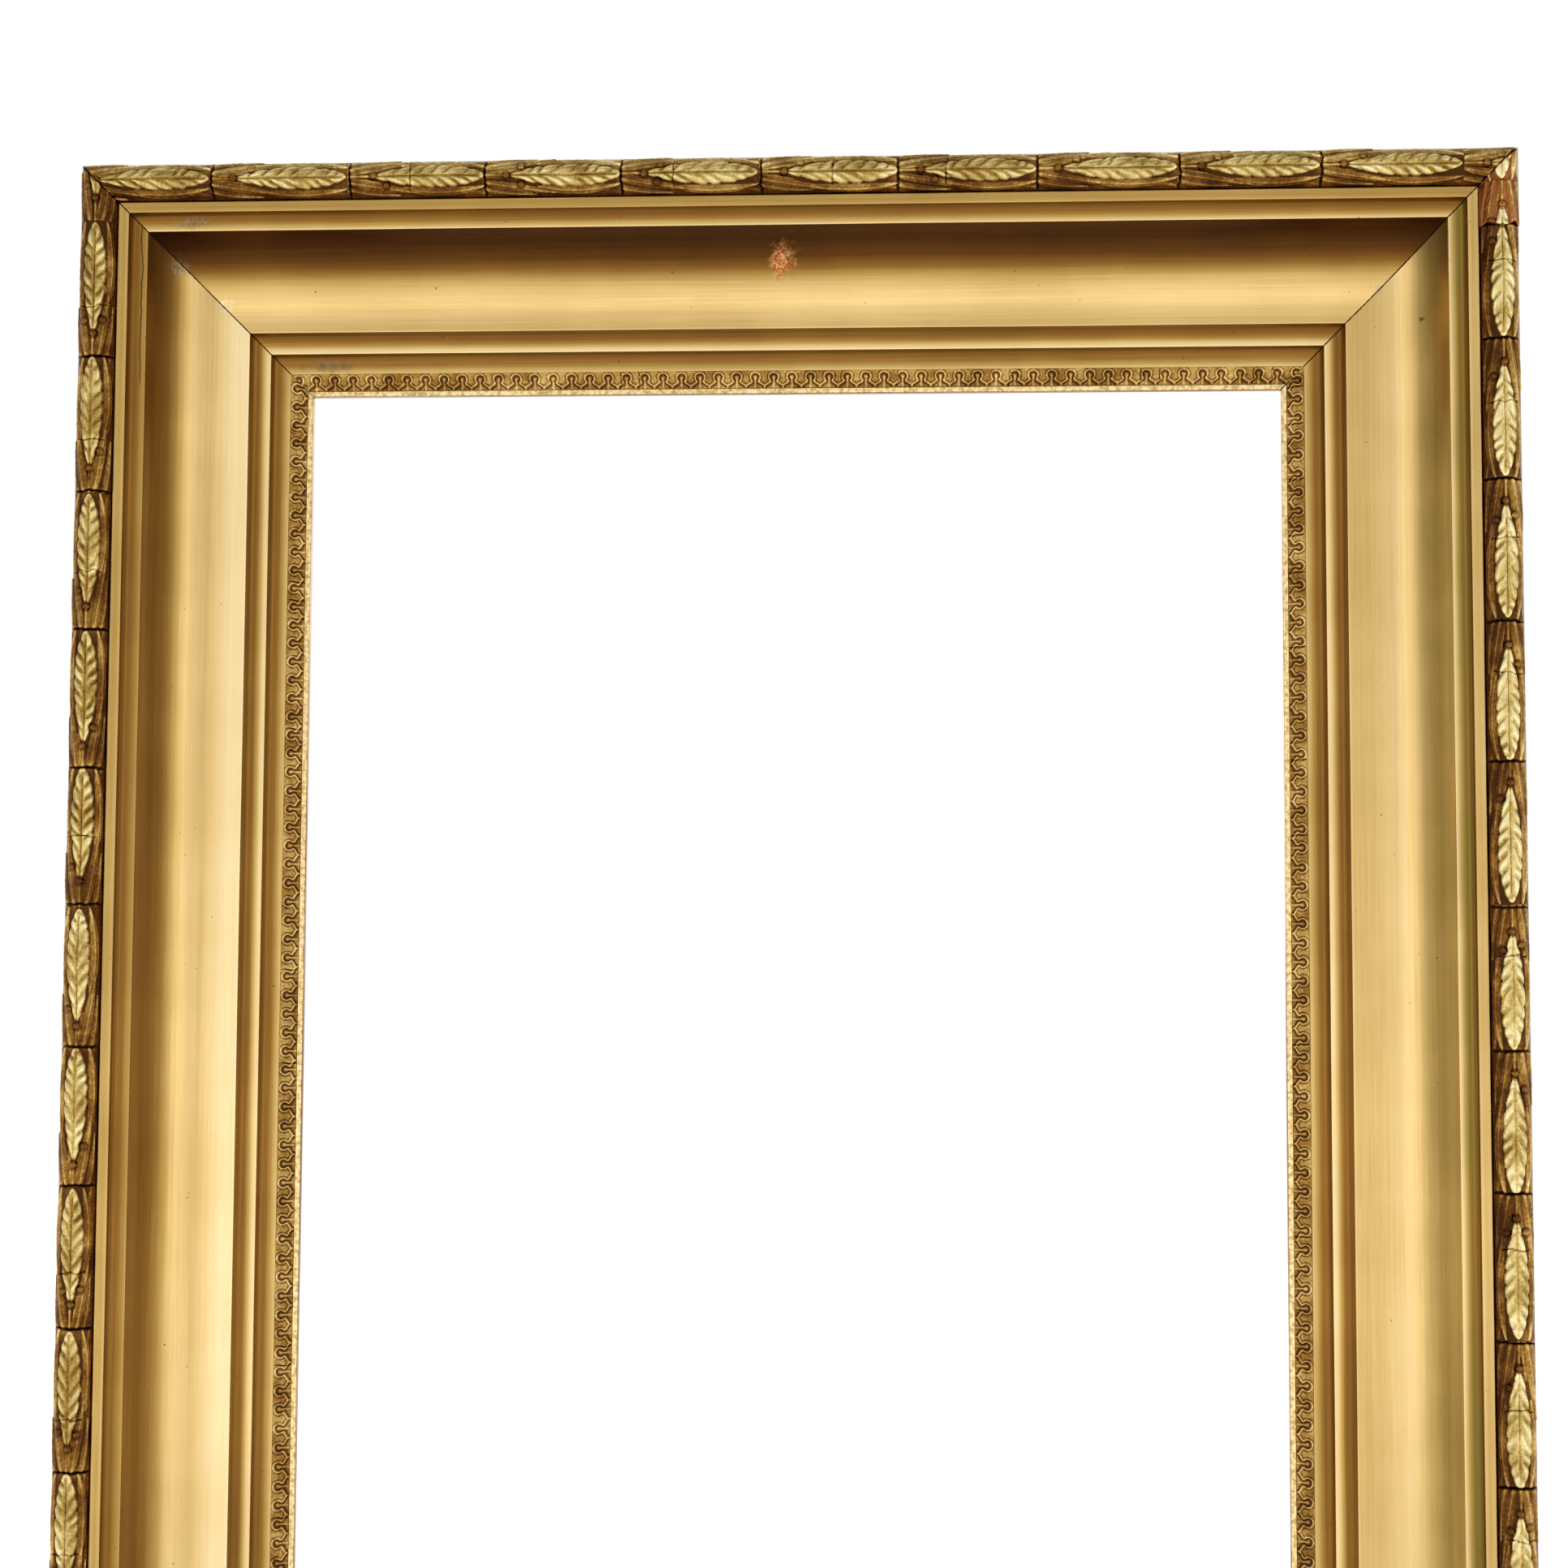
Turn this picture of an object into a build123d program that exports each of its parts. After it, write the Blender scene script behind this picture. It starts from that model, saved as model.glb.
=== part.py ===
from build123d import *
import os
from math import asin, cos, radians, sin, sqrt, tan

# A gilded picture frame, standing upright with its front towards -Y, in millimetres.
# The origin is at the middle of the bottom edge and of the depth.
# A pine back frame carries three moulded members on each side: an outer rail, a cove and a sight rail.
# Cast laurel leaves run clockwise round the outer rail, and a lamb's-tongue strip runs beside the sight edge.

# The picture that the frame takes
CANVAS_WIDTH = 508.0
CANVAS_HEIGHT = 762.0
CANVAS_CLEARANCE = 2.0
RABBET_OVERLAP = 7.0

# Widths across the moulding, from the outer edge to the sight edge
TORUS_WIDTH = 19.4
FILLET_WIDTH = 5.4
SCOTIA_WIDTH = 8.5
COVE_WIDTH = 46.0
OUTER_STEP_WIDTH = 10.1
INNER_STEP_WIDTH = 9.7
ORNAMENT_WIDTH = 8.1
LIP_WIDTH = 2.8

# Heights through the depth, from the back to the front
BACK_THICKNESS = 14.0
LIP_THICKNESS = 4.0
ORNAMENT_RISE = 3.3
INNER_STEP_RISE = 4.2
OUTER_STEP_RISE = 4.5
COVE_RISE = 27.0
SCOTIA_RISE = 5.0
SEAT_DEPTH = 2.0

# Hollows of the moulding: how deep the cove is below its chord, and the flat beside each small hollow
COVE_SAG = 8.3
SCOTIA_FLAT = 3.4
OUTER_STEP_FLAT = 4.2
INNER_STEP_FLAT = 4.6

# Laurel castings: one leaf unit each, laid end to end on the outer rail
LEAF_PITCH = 69.0
LEAF_JOINT = 0.8
LAUREL_INSET = 0.3
LAUREL_EDGE = 1.5
LAUREL_CROWN = 8.2
LAUREL_FACETS = 6
LEAF_RAISE = 1.8
LEAF_LENGTH = 58.0
LEAF_WIDTH = 11.0
LEAF_HEEL = 21.0
LEAF_SHOULDER = 22.0
LEAF_TIP_MARGIN = 1.5
MIDRIB_WIDTH = 1.2
MIDRIB_DEPTH = 0.7
SIDE_LEAF_RAISE = 0.9
SIDE_LEAF_LENGTH = 34.0
SIDE_LEAF_WIDTH = 6.5
SIDE_LEAF_SHOULDER = 17.0
SIDE_LEAF_START = 2.0
SIDE_LEAF_SPREAD = 3.2
SIDE_LEAF_ANGLE = 9.0
BERRY_DIAMETER = 3.4
BERRY_STAND = 1.3
BERRY_TAPER = 28.0
BERRY_SIDES = 5
BERRY_PLACES = [(9.0, -3.6), (17.0, 4.4)]
# Distance from the corner where each side's garland starts to its first joint between castings
FIRST_JOINT = {"top": 0.0, "right": 27.5, "bottom": 20.0, "left": 44.5}

# The repair casting that replaces the start of the right garland
PATCH_LENGTH = 40.0
PATCH_RAISE = 0.7
PATCH_LEAF_TIP = 18.0

# Lamb's-tongue strip beside the lip
ORNAMENT_THICKNESS = 2.2
BED_DEPTH = 1.6
TONGUE_PITCH = 9.5
TONGUE_MOUTH = 5.6
TONGUE_HEAD = 1.2
TONGUE_DEPTH = 0.8

# Square cut nails through the mitres and six-sided pegs through the half-laps
FIT_CLEARANCE = 0.05
NAIL_WIDTH = 2.4
NAIL_HEAD_WIDTH = 4.6
NAIL_HEAD_THICKNESS = 1.2
NAIL_LENGTH = 30.0
NAIL_FROM_CORNER = 11.0
NAIL_FROM_BACK_FRAME = 11.0
NAIL_SPACING = 17.0
PEG_DIAMETER = 8.0
PEG_SIDES = 6
PEG_SPACING = 44.0

# Hanger straps and their D-rings
HANGER_DROP = 250.0
HANGER_SETBACK = 26.0
STRAP_THICKNESS = 1.2
STRAP_WIDTH = 13.0
STRAP_LENGTH = 27.0
STRAP_CHAMFER = 3.5
EYE_SIDES = 12
STRAP_SCREW_PLACE = 9.5
RING_WIRE = 2.5
RING_SIDES = 6
RING_ROUND_STEPS = 7
RING_CORNER_STEPS = 2
RING_PLAY = 0.08
RING_SIDE_GAP = 0.4
RING_CORNER = 3.0
RING_LEG = 5.0

# Turn buttons that hold the picture in the rabbet
BUTTON_SETBACK = 7.0
BUTTON_ARM = 16.0
BUTTON_WIDTH = 9.0
BUTTON_THICKNESS = 1.5
BUTTON_CHAMFER = 2.6
BUTTON_GAP = 0.15
BUTTON_FROM_CANVAS_END = 95.0

# Round-headed slotted wood screws
SCREW_DIAMETER = 3.5
SCREW_SIDES = 6
SCREW_HEAD_DIAMETER = 7.0
SCREW_HEAD_SIDES = 8
SCREW_HEAD_TAPER = 30.0
SCREW_HEAD_HEIGHT = 1.8
SCREW_TIP_MARGIN = 3.0
SCREW_SLOT_WIDTH = 0.9
SCREW_SLOT_DEPTH = 0.8
PIVOT_CLEARANCE = 0.06

# Places across the moulding
FILLET_AT = TORUS_WIDTH
SCOTIA_AT = FILLET_AT + FILLET_WIDTH
COVE_AT = SCOTIA_AT + SCOTIA_WIDTH
OUTER_STEP_AT = COVE_AT + COVE_WIDTH
INNER_STEP_AT = OUTER_STEP_AT + OUTER_STEP_WIDTH
ORNAMENT_AT = INNER_STEP_AT + INNER_STEP_WIDTH
LIP_AT = ORNAMENT_AT + ORNAMENT_WIDTH
MOULDING_WIDTH = LIP_AT + LIP_WIDTH
BACK_WIDTH = MOULDING_WIDTH - RABBET_OVERLAP

# Levels above the back of the frame
LIP_LEVEL = BACK_THICKNESS + LIP_THICKNESS
ORNAMENT_LEVEL = LIP_LEVEL + ORNAMENT_RISE
INNER_STEP_LEVEL = ORNAMENT_LEVEL + INNER_STEP_RISE
OUTER_STEP_LEVEL = INNER_STEP_LEVEL + OUTER_STEP_RISE
COVE_LEVEL = OUTER_STEP_LEVEL + COVE_RISE
FILLET_LEVEL = COVE_LEVEL + SCOTIA_RISE
SEAT_LEVEL = FILLET_LEVEL - SEAT_DEPTH

# Roundness of the laurel castings, which stand between the outer edge and the flat fillet
LAUREL_HALF = TORUS_WIDTH / 2 - LAUREL_INSET
CROWN_ARC = LAUREL_CROWN - LAUREL_EDGE
CROWN_RADIUS = (LAUREL_HALF**2 + CROWN_ARC**2) / (2 * CROWN_ARC)
FACET_ANGLE = 2 * asin(LAUREL_HALF / CROWN_RADIUS) / LAUREL_FACETS
# The leaves are highest on both sides of the midrib, where the first facets start to fall away
LEAF_CREST = LAUREL_CROWN + LEAF_RAISE - MIDRIB_WIDTH / 2 * tan(FACET_ANGLE / 2)
CREST_LEVEL = SEAT_LEVEL + LEAF_CREST

# Overall sizes
FRAME_WIDTH = CANVAS_WIDTH + 2 * (CANVAS_CLEARANCE + BACK_WIDTH)
FRAME_HEIGHT = CANVAS_HEIGHT + 2 * (CANVAS_CLEARANCE + BACK_WIDTH)
EYE_RADIUS = RING_WIRE / 2 + RING_PLAY
EYE_HEIGHT = STRAP_THICKNESS + EYE_RADIUS
HARDWARE_DEPTH = EYE_HEIGHT + EYE_RADIUS + STRAP_THICKNESS
BACK_Y = (CREST_LEVEL - HARDWARE_DEPTH) / 2
CANVAS_END = BACK_WIDTH + CANVAS_CLEARANCE
SCREW_LENGTH = BACK_THICKNESS - SCREW_TIP_MARGIN
LAP_THICKNESS = BACK_THICKNESS / 2
BUTTON_HEAD_AT = BUTTON_GAP + BUTTON_THICKNESS + BUTTON_GAP

# Directions and places of the four sides
FRONT = Vector(0, -1, 0)
REAR = Vector(0, 1, 0)
INWARD = {
    "top": Vector(0, 0, -1),
    "right": Vector(-1, 0, 0),
    "bottom": Vector(0, 0, 1),
    "left": Vector(1, 0, 0),
}
OUTER_MIDDLE = {
    "top": Vector(0, BACK_Y, FRAME_HEIGHT),
    "right": Vector(FRAME_WIDTH / 2, BACK_Y, FRAME_HEIGHT / 2),
    "bottom": Vector(0, BACK_Y, 0),
    "left": Vector(-FRAME_WIDTH / 2, BACK_Y, FRAME_HEIGHT / 2),
}
LENGTH = {"top": FRAME_WIDTH, "right": FRAME_HEIGHT, "bottom": FRAME_WIDTH, "left": FRAME_HEIGHT}
# The back seen through the front: x and y here are the frame's X and Z, and the normal points to the front
BACK_PLANE = Plane((0, BACK_Y, 0), x_dir=(1, 0, 0), z_dir=FRONT)

os.makedirs("parts", exist_ok=True)


def save(block, name):
    """Label a finished piece and write it as its own file."""
    block.part.label = name
    export_step(block.part, f"parts/{name}.step")


def along(side):
    """Direction in which a side runs, anticlockwise as seen from the front."""
    return INWARD[side].cross(FRONT)


def section_plane(side):
    """Cross-section at a side's middle: x runs inwards from the outer edge, y from the back to the front."""
    return Plane(OUTER_MIDDLE[side], x_dir=INWARD[side], z_dir=along(side))


def garland_plane(side):
    """Plane at the corner where a side's garland starts: x runs with the leaves and z points to the front."""
    start = OUTER_MIDDLE[side] + along(side) * (LENGTH[side] / 2)
    return Plane(start, x_dir=along(side) * -1, z_dir=FRONT)


def trim_to_mitres(side):
    """Cut the piece in hand to the 45 degree planes at both ends of a side."""
    for end in (-1, 1):
        corner = OUTER_MIDDLE[side] + along(side) * (end * LENGTH[side] / 2)
        outwards = along(side) * end + INWARD[side]
        split(bisect_by=Plane(corner, x_dir=FRONT, z_dir=outwards), keep=Keep.BOTTOM)


def run_moulding(side, outline):
    """Run an outline along a whole side and mitre it."""
    with BuildSketch(section_plane(side)) as profile:
        with BuildLine():
            outline()
        make_face()
    extrude(profile.sketch, amount=LENGTH[side] / 2, both=True)
    trim_to_mitres(side)


def hollow(start, level, width, drop):
    """Hollow that leaves its edge steeply and ends level."""
    TangentArc((start + width, level - drop), (start, level), tangent=(-1, 0))


def outer_outline():
    """Seat of the laurel, flat fillet and small scotia."""
    Polyline(
        (COVE_AT, COVE_LEVEL),
        (COVE_AT, BACK_THICKNESS),
        (0, BACK_THICKNESS),
        (0, SEAT_LEVEL),
        (FILLET_AT, SEAT_LEVEL),
        (FILLET_AT, FILLET_LEVEL),
        (SCOTIA_AT, FILLET_LEVEL),
    )
    hollow(SCOTIA_AT, FILLET_LEVEL, SCOTIA_WIDTH - SCOTIA_FLAT, SCOTIA_RISE)
    Line((COVE_AT - SCOTIA_FLAT, COVE_LEVEL), (COVE_AT, COVE_LEVEL))


def cove_outline():
    """The large hollow in the middle of the moulding."""
    top = (COVE_AT, COVE_LEVEL)
    bottom = (OUTER_STEP_AT, OUTER_STEP_LEVEL)
    Polyline(bottom, (OUTER_STEP_AT, BACK_THICKNESS), (COVE_AT, BACK_THICKNESS), top)
    SagittaArc(top, bottom, -COVE_SAG)


def sight_outline():
    """Two stepped hollows, the bed of the lamb's-tongue strip and the lip over the rabbet."""
    hollow(OUTER_STEP_AT, OUTER_STEP_LEVEL, OUTER_STEP_WIDTH - OUTER_STEP_FLAT, OUTER_STEP_RISE)
    Line((INNER_STEP_AT - OUTER_STEP_FLAT, INNER_STEP_LEVEL), (INNER_STEP_AT, INNER_STEP_LEVEL))
    hollow(INNER_STEP_AT, INNER_STEP_LEVEL, INNER_STEP_WIDTH - INNER_STEP_FLAT, INNER_STEP_RISE)
    Polyline(
        (ORNAMENT_AT - INNER_STEP_FLAT, ORNAMENT_LEVEL),
        (ORNAMENT_AT, ORNAMENT_LEVEL),
        (ORNAMENT_AT, ORNAMENT_LEVEL - BED_DEPTH),
        (LIP_AT, LIP_LEVEL - BED_DEPTH),
        (LIP_AT, LIP_LEVEL),
        (MOULDING_WIDTH, LIP_LEVEL),
        (MOULDING_WIDTH, BACK_THICKNESS),
        (OUTER_STEP_AT, BACK_THICKNESS),
        (OUTER_STEP_AT, OUTER_STEP_LEVEL),
    )


def strip_outline():
    """Cross-section of the lamb's-tongue strip on its sloping bed."""
    outer_foot = ORNAMENT_LEVEL - BED_DEPTH
    inner_foot = LIP_LEVEL - BED_DEPTH
    Polyline(
        (ORNAMENT_AT, outer_foot),
        (LIP_AT, inner_foot),
        (LIP_AT, inner_foot + ORNAMENT_THICKNESS),
        (ORNAMENT_AT, outer_foot + ORNAMENT_THICKNESS),
        close=True,
    )


def cut_tongues(side):
    """V-cut darts, widest at the lip and fading out at their heads, that leave the tongues standing."""
    section = section_plane(side)
    outer_level = ORNAMENT_LEVEL - BED_DEPTH + ORNAMENT_THICKNESS
    slope = ORNAMENT_RISE / ORNAMENT_WIDTH
    head = section.from_local_coords((ORNAMENT_AT + TONGUE_HEAD, outer_level - TONGUE_HEAD * slope, 0))
    bottom = section.from_local_coords((LIP_AT, outer_level - ORNAMENT_RISE - TONGUE_DEPTH, 0))
    count = int((LENGTH[side] - 2 * ORNAMENT_AT) // TONGUE_PITCH) + 1
    with BuildSketch(Plane(bottom, x_dir=along(side), z_dir=head - bottom)) as darts:
        with GridLocations(TONGUE_PITCH, 1, count, 1):
            # Twice the size of the cut at the lip, so that it stands clear of the strip's face
            Polygon((0, 0), (TONGUE_MOUTH, 2 * TONGUE_DEPTH), (-TONGUE_MOUTH, 2 * TONGUE_DEPTH), align=None)
    extrude(darts.sketch, amount=ORNAMENT_WIDTH, mode=Mode.SUBTRACT)


def nail_planes():
    """Plane on the outer side at each mitre nail, looking along the nail into the frame."""
    planes = []
    for side in ("left", "right"):
        for z in (NAIL_FROM_CORNER, FRAME_HEIGHT - NAIL_FROM_CORNER):
            for row in (0, 1):
                level = BACK_THICKNESS + NAIL_FROM_BACK_FRAME + row * NAIL_SPACING
                middle = OUTER_MIDDLE[side]
                planes.append(Plane((middle.X, BACK_Y - level, z), x_dir=FRONT, z_dir=INWARD[side]))
    return planes


def nail_shape(clearance, mode):
    """Every mitre nail, or the hole for it."""
    for plane in nail_planes():
        shank_width = NAIL_WIDTH + 2 * clearance
        with BuildSketch(plane) as shank:
            Rectangle(shank_width, shank_width)
        extrude(shank.sketch, amount=NAIL_LENGTH + clearance, mode=mode)
        head_width = NAIL_HEAD_WIDTH + 2 * clearance
        with BuildSketch(plane) as head:
            Rectangle(head_width, head_width)
        extrude(head.sketch, amount=NAIL_HEAD_THICKNESS, mode=mode)


def peg_places():
    """Two pegs on the diagonal of each half-lapped corner."""
    middle_x = (FRAME_WIDTH - BACK_WIDTH) / 2
    middle_z = (FRAME_HEIGHT - BACK_WIDTH) / 2
    places = []
    for x in (-1, 1):
        for z in (-1, 1):
            for step in (-1, 1):
                shift = step * PEG_SPACING / 2
                places.append((x * (middle_x + shift), FRAME_HEIGHT / 2 + z * (middle_z + shift)))
    return places


def hanger_place(side):
    """X and Z of a hanger's eye."""
    reach = FRAME_WIDTH / 2 - (BACK_WIDTH - HANGER_SETBACK)
    return Vector(INWARD[side].X * -reach, 0, FRAME_HEIGHT - HANGER_DROP)


def button_places(side):
    """X and Z of the pivots of a side's three turn buttons, from the lowest up."""
    reach = FRAME_WIDTH / 2 - (BACK_WIDTH - BUTTON_SETBACK)
    end = CANVAS_END + BUTTON_FROM_CANVAS_END
    return [(INWARD[side].X * -reach, z) for z in (end, FRAME_HEIGHT / 2, FRAME_HEIGHT - end)]


def strap_screw_place(side):
    """X and Z of the screw in a hanger's strap."""
    eye = hanger_place(side)
    return (eye.X - INWARD[side].X * STRAP_SCREW_PLACE, eye.Z)


def cut_holes(plane, places, diameter, sides, depth):
    """Many-sided holes that a round or many-sided pin of that diameter just passes."""
    with BuildSketch(plane) as holes:
        with Locations(*places):
            RegularPolygon(diameter / 2, sides, major_radius=False)
    extrude(holes.sketch, amount=depth, mode=Mode.SUBTRACT)


def wood_screw(place, head_level):
    """One screw driven from the back, its head standing on whatever it holds at head_level."""
    head_top = head_level + SCREW_HEAD_HEIGHT
    with BuildSketch(BACK_PLANE.offset(-head_level)) as shank:
        with Locations(place):
            RegularPolygon(SCREW_DIAMETER / 2, SCREW_SIDES)
    extrude(shank.sketch, amount=head_level + SCREW_LENGTH)
    with BuildSketch(BACK_PLANE.offset(-head_level)) as head:
        with Locations(place):
            RegularPolygon(SCREW_HEAD_DIAMETER / 2, SCREW_HEAD_SIDES)
    extrude(head.sketch, amount=-SCREW_HEAD_HEIGHT, taper=SCREW_HEAD_TAPER)
    with BuildSketch(BACK_PLANE.offset(-head_top)) as slot:
        with Locations(place):
            Rectangle(SCREW_HEAD_DIAMETER, SCREW_SLOT_WIDTH)
    extrude(slot.sketch, amount=SCREW_SLOT_DEPTH, mode=Mode.SUBTRACT)


# Half-lapped back frame
def back_member(side, lap_start):
    """A plain board of the back frame with half its thickness cut away at both ends."""
    half = LENGTH[side] / 2
    with BuildSketch(section_plane(side)) as board:
        Rectangle(BACK_WIDTH, BACK_THICKNESS, align=(Align.MIN, Align.MIN))
    extrude(board.sketch, amount=half, both=True)
    for end in (-1, 1):
        with BuildSketch(section_plane(side).offset(end * (half - BACK_WIDTH))) as lap:
            with Locations((0, lap_start)):
                Rectangle(BACK_WIDTH, LAP_THICKNESS, align=(Align.MIN, Align.MIN))
        extrude(lap.sketch, amount=end * BACK_WIDTH, mode=Mode.SUBTRACT)
    with BuildSketch(BACK_PLANE) as holes:
        with Locations(*peg_places()):
            RegularPolygon(PEG_DIAMETER / 2 + FIT_CLEARANCE, PEG_SIDES)
    extrude(holes.sketch, amount=BACK_THICKNESS, mode=Mode.SUBTRACT)


for side in ("top", "bottom"):
    with BuildPart() as back_rail:
        back_member(side, 0)
    save(back_rail, f"back_rail_{side}")

for side in ("left", "right"):
    with BuildPart() as back_stile:
        back_member(side, LAP_THICKNESS)
        pilots = [strap_screw_place(side)] + button_places(side)
        cut_holes(BACK_PLANE, pilots, SCREW_DIAMETER, SCREW_SIDES, SCREW_LENGTH + FIT_CLEARANCE)
    save(back_stile, f"back_stile_{side}")

with BuildPart() as lap_pegs:
    with BuildSketch(BACK_PLANE):
        with Locations(*peg_places()):
            RegularPolygon(PEG_DIAMETER / 2, PEG_SIDES)
    extrude(amount=BACK_THICKNESS)
save(lap_pegs, "lap_pegs")

# Mitred mouldings
for side in INWARD:
    with BuildPart() as outer_rail:
        run_moulding(side, outer_outline)
        nail_shape(FIT_CLEARANCE, Mode.SUBTRACT)
    save(outer_rail, f"outer_rail_{side}")

    with BuildPart() as cove_rail:
        run_moulding(side, cove_outline)
    save(cove_rail, f"cove_rail_{side}")

    with BuildPart() as sight_rail:
        run_moulding(side, sight_outline)
    save(sight_rail, f"sight_rail_{side}")

    with BuildPart() as sight_ornament:
        run_moulding(side, strip_outline)
        cut_tongues(side)
    save(sight_ornament, f"sight_ornament_{side}")

with BuildPart() as mitre_nails:
    nail_shape(0, Mode.ADD)
save(mitre_nails, "mitre_nails")


# Laurel castings, made once about their own seat with the leaf pointing along +X
def casting_section(start, length, rise):
    """Faceted half-round bar of a casting, standing a little higher where rise is more than 0."""
    centre = LAUREL_CROWN + rise - CROWN_RADIUS
    turns = [FACET_ANGLE * (step - LAUREL_FACETS / 2) for step in range(LAUREL_FACETS + 1)]
    crown = [(CROWN_RADIUS * sin(turn), centre + CROWN_RADIUS * cos(turn)) for turn in turns]
    with BuildSketch(Plane.YZ.offset(start)) as bar:
        Polygon((LAUREL_HALF, 0), (-LAUREL_HALF, 0), *crown, align=None)
    extrude(bar.sketch, amount=length)


def raised_leaf(plane, length, width, widest, rise):
    """A pointed leaf, at its full width at the places in widest, that stands proud of the ground."""
    near = [(place, -width / 2) for place in widest]
    far = [(place, width / 2) for place in reversed(widest)]
    with BuildPart() as leaf:
        casting_section(LEAF_JOINT / 2, LEAF_PITCH - LEAF_JOINT, rise)
        with BuildSketch(plane):
            Polygon((0, 0), *near, (length, 0), *far, align=None)
        extrude(amount=LAUREL_CROWN + LEAF_RAISE, mode=Mode.INTERSECT)
    return leaf.part


def main_leaf(tip):
    """The leaf along the crest, with its tip at a distance from the casting's start and a cut midrib."""
    widest = [LEAF_HEEL, LEAF_LENGTH - LEAF_SHOULDER]
    blade = raised_leaf(Plane((tip - LEAF_LENGTH, 0, 0)), LEAF_LENGTH, LEAF_WIDTH, widest, LEAF_RAISE)
    half = MIDRIB_WIDTH / 2
    with BuildPart() as leaf:
        add(blade)
        with BuildSketch(Plane.YZ):
            Polygon(
                (0, LEAF_CREST - MIDRIB_DEPTH),
                (half, LEAF_CREST),
                (half, LEAF_CREST + MIDRIB_DEPTH),
                (-half, LEAF_CREST + MIDRIB_DEPTH),
                (-half, LEAF_CREST),
                align=None,
            )
        extrude(amount=LEAF_PITCH, mode=Mode.SUBTRACT)
    return leaf.part


def side_leaf(hand):
    """A lower leaf that fans out from the casting's start towards one edge."""
    spread = Plane((SIDE_LEAF_START, hand * SIDE_LEAF_SPREAD, 0)).rotated((0, 0, hand * SIDE_LEAF_ANGLE))
    widest = [SIDE_LEAF_LENGTH - SIDE_LEAF_SHOULDER]
    return raised_leaf(spread, SIDE_LEAF_LENGTH, SIDE_LEAF_WIDTH, widest, SIDE_LEAF_RAISE)


def berry(place):
    """A small faceted berry, rooted in the ground."""
    ground = LAUREL_CROWN - CROWN_RADIUS + sqrt(CROWN_RADIUS**2 - place[1] ** 2)
    with BuildSketch(Plane.XY.offset(ground - BERRY_STAND)) as foot:
        with Locations(place):
            RegularPolygon(BERRY_DIAMETER / 2, BERRY_SIDES)
    extrude(foot.sketch, amount=2 * BERRY_STAND, taper=BERRY_TAPER)


CASTING_LEAVES = [main_leaf(LEAF_PITCH - LEAF_TIP_MARGIN), side_leaf(-1), side_leaf(1)]

with BuildPart() as casting:
    casting_section(LEAF_JOINT / 2, LEAF_PITCH - LEAF_JOINT, 0)
    add(CASTING_LEAVES)
    for place in BERRY_PLACES:
        berry(place)


def casting_planes(side):
    """Seat of every casting that a side needs, from the first cut one to the last."""
    garland = garland_plane(side)
    planes = []
    start = FIRST_JOINT[side] - LEAF_PITCH
    while start < LENGTH[side]:
        seat = garland.from_local_coords((start, -TORUS_WIDTH / 2, SEAT_LEVEL))
        planes.append(Plane(seat, x_dir=garland.x_dir, z_dir=FRONT))
        start += LEAF_PITCH
    return planes


def patch_end(side):
    """Plane across the right garland where the repair casting stops, facing the way the leaves point."""
    garland = garland_plane(side)
    return Plane(garland.from_local_coords((PATCH_LENGTH, 0, 0)), x_dir=FRONT, z_dir=garland.x_dir)


for side in INWARD:
    with BuildPart() as laurel:
        with Locations(*casting_planes(side)):
            add(casting.part)
        trim_to_mitres(side)
        if side == "right":
            split(bisect_by=patch_end(side).offset(LEAF_JOINT), keep=Keep.TOP)
    save(laurel, f"laurel_{side}")

with BuildPart() as patch_casting:
    casting_section(0, PATCH_LENGTH, PATCH_RAISE)
    add(main_leaf(PATCH_LEAF_TIP))
    for hand in (-1, 1):
        add(side_leaf(hand))

with BuildPart() as laurel_patch:
    corner = garland_plane("right")
    seat = corner.from_local_coords((0, -TORUS_WIDTH / 2, SEAT_LEVEL))
    with Locations(Plane(seat, x_dir=corner.x_dir, z_dir=FRONT)):
        add(patch_casting.part)
    trim_to_mitres("right")
save(laurel_patch, "laurel_patch")


# Hangers on the stiles
def hanger_plane(side):
    """Section through a strap at its eye: x runs to the strap's tail and y out of the back."""
    outwards = INWARD[side] * -1
    eye = hanger_place(side) + Vector(0, BACK_Y, 0)
    return Plane(eye, x_dir=outwards, z_dir=outwards.cross(REAR))


def bend(centre, radius, start, end, steps):
    """Points along a round bend of the ring's wire, which turns in equal short straights."""
    turns = [radians(start + (end - start) * step / steps) for step in range(steps + 1)]
    return [(centre[0] + radius * cos(turn), centre[1] + radius * sin(turn)) for turn in turns]


def ring_bends():
    """Bends of a D-ring in order: a corner beside the strap, the round end and the other corner."""
    half = STRAP_WIDTH / 2 + RING_SIDE_GAP + RING_CORNER
    corner = half - RING_CORNER
    return [
        *bend((RING_CORNER, corner), RING_CORNER, 180, 90, RING_CORNER_STEPS),
        *bend((RING_LEG, 0), half, 90, -90, RING_ROUND_STEPS),
        *bend((RING_CORNER, -corner), RING_CORNER, -90, -180, RING_CORNER_STEPS),
    ]


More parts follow.
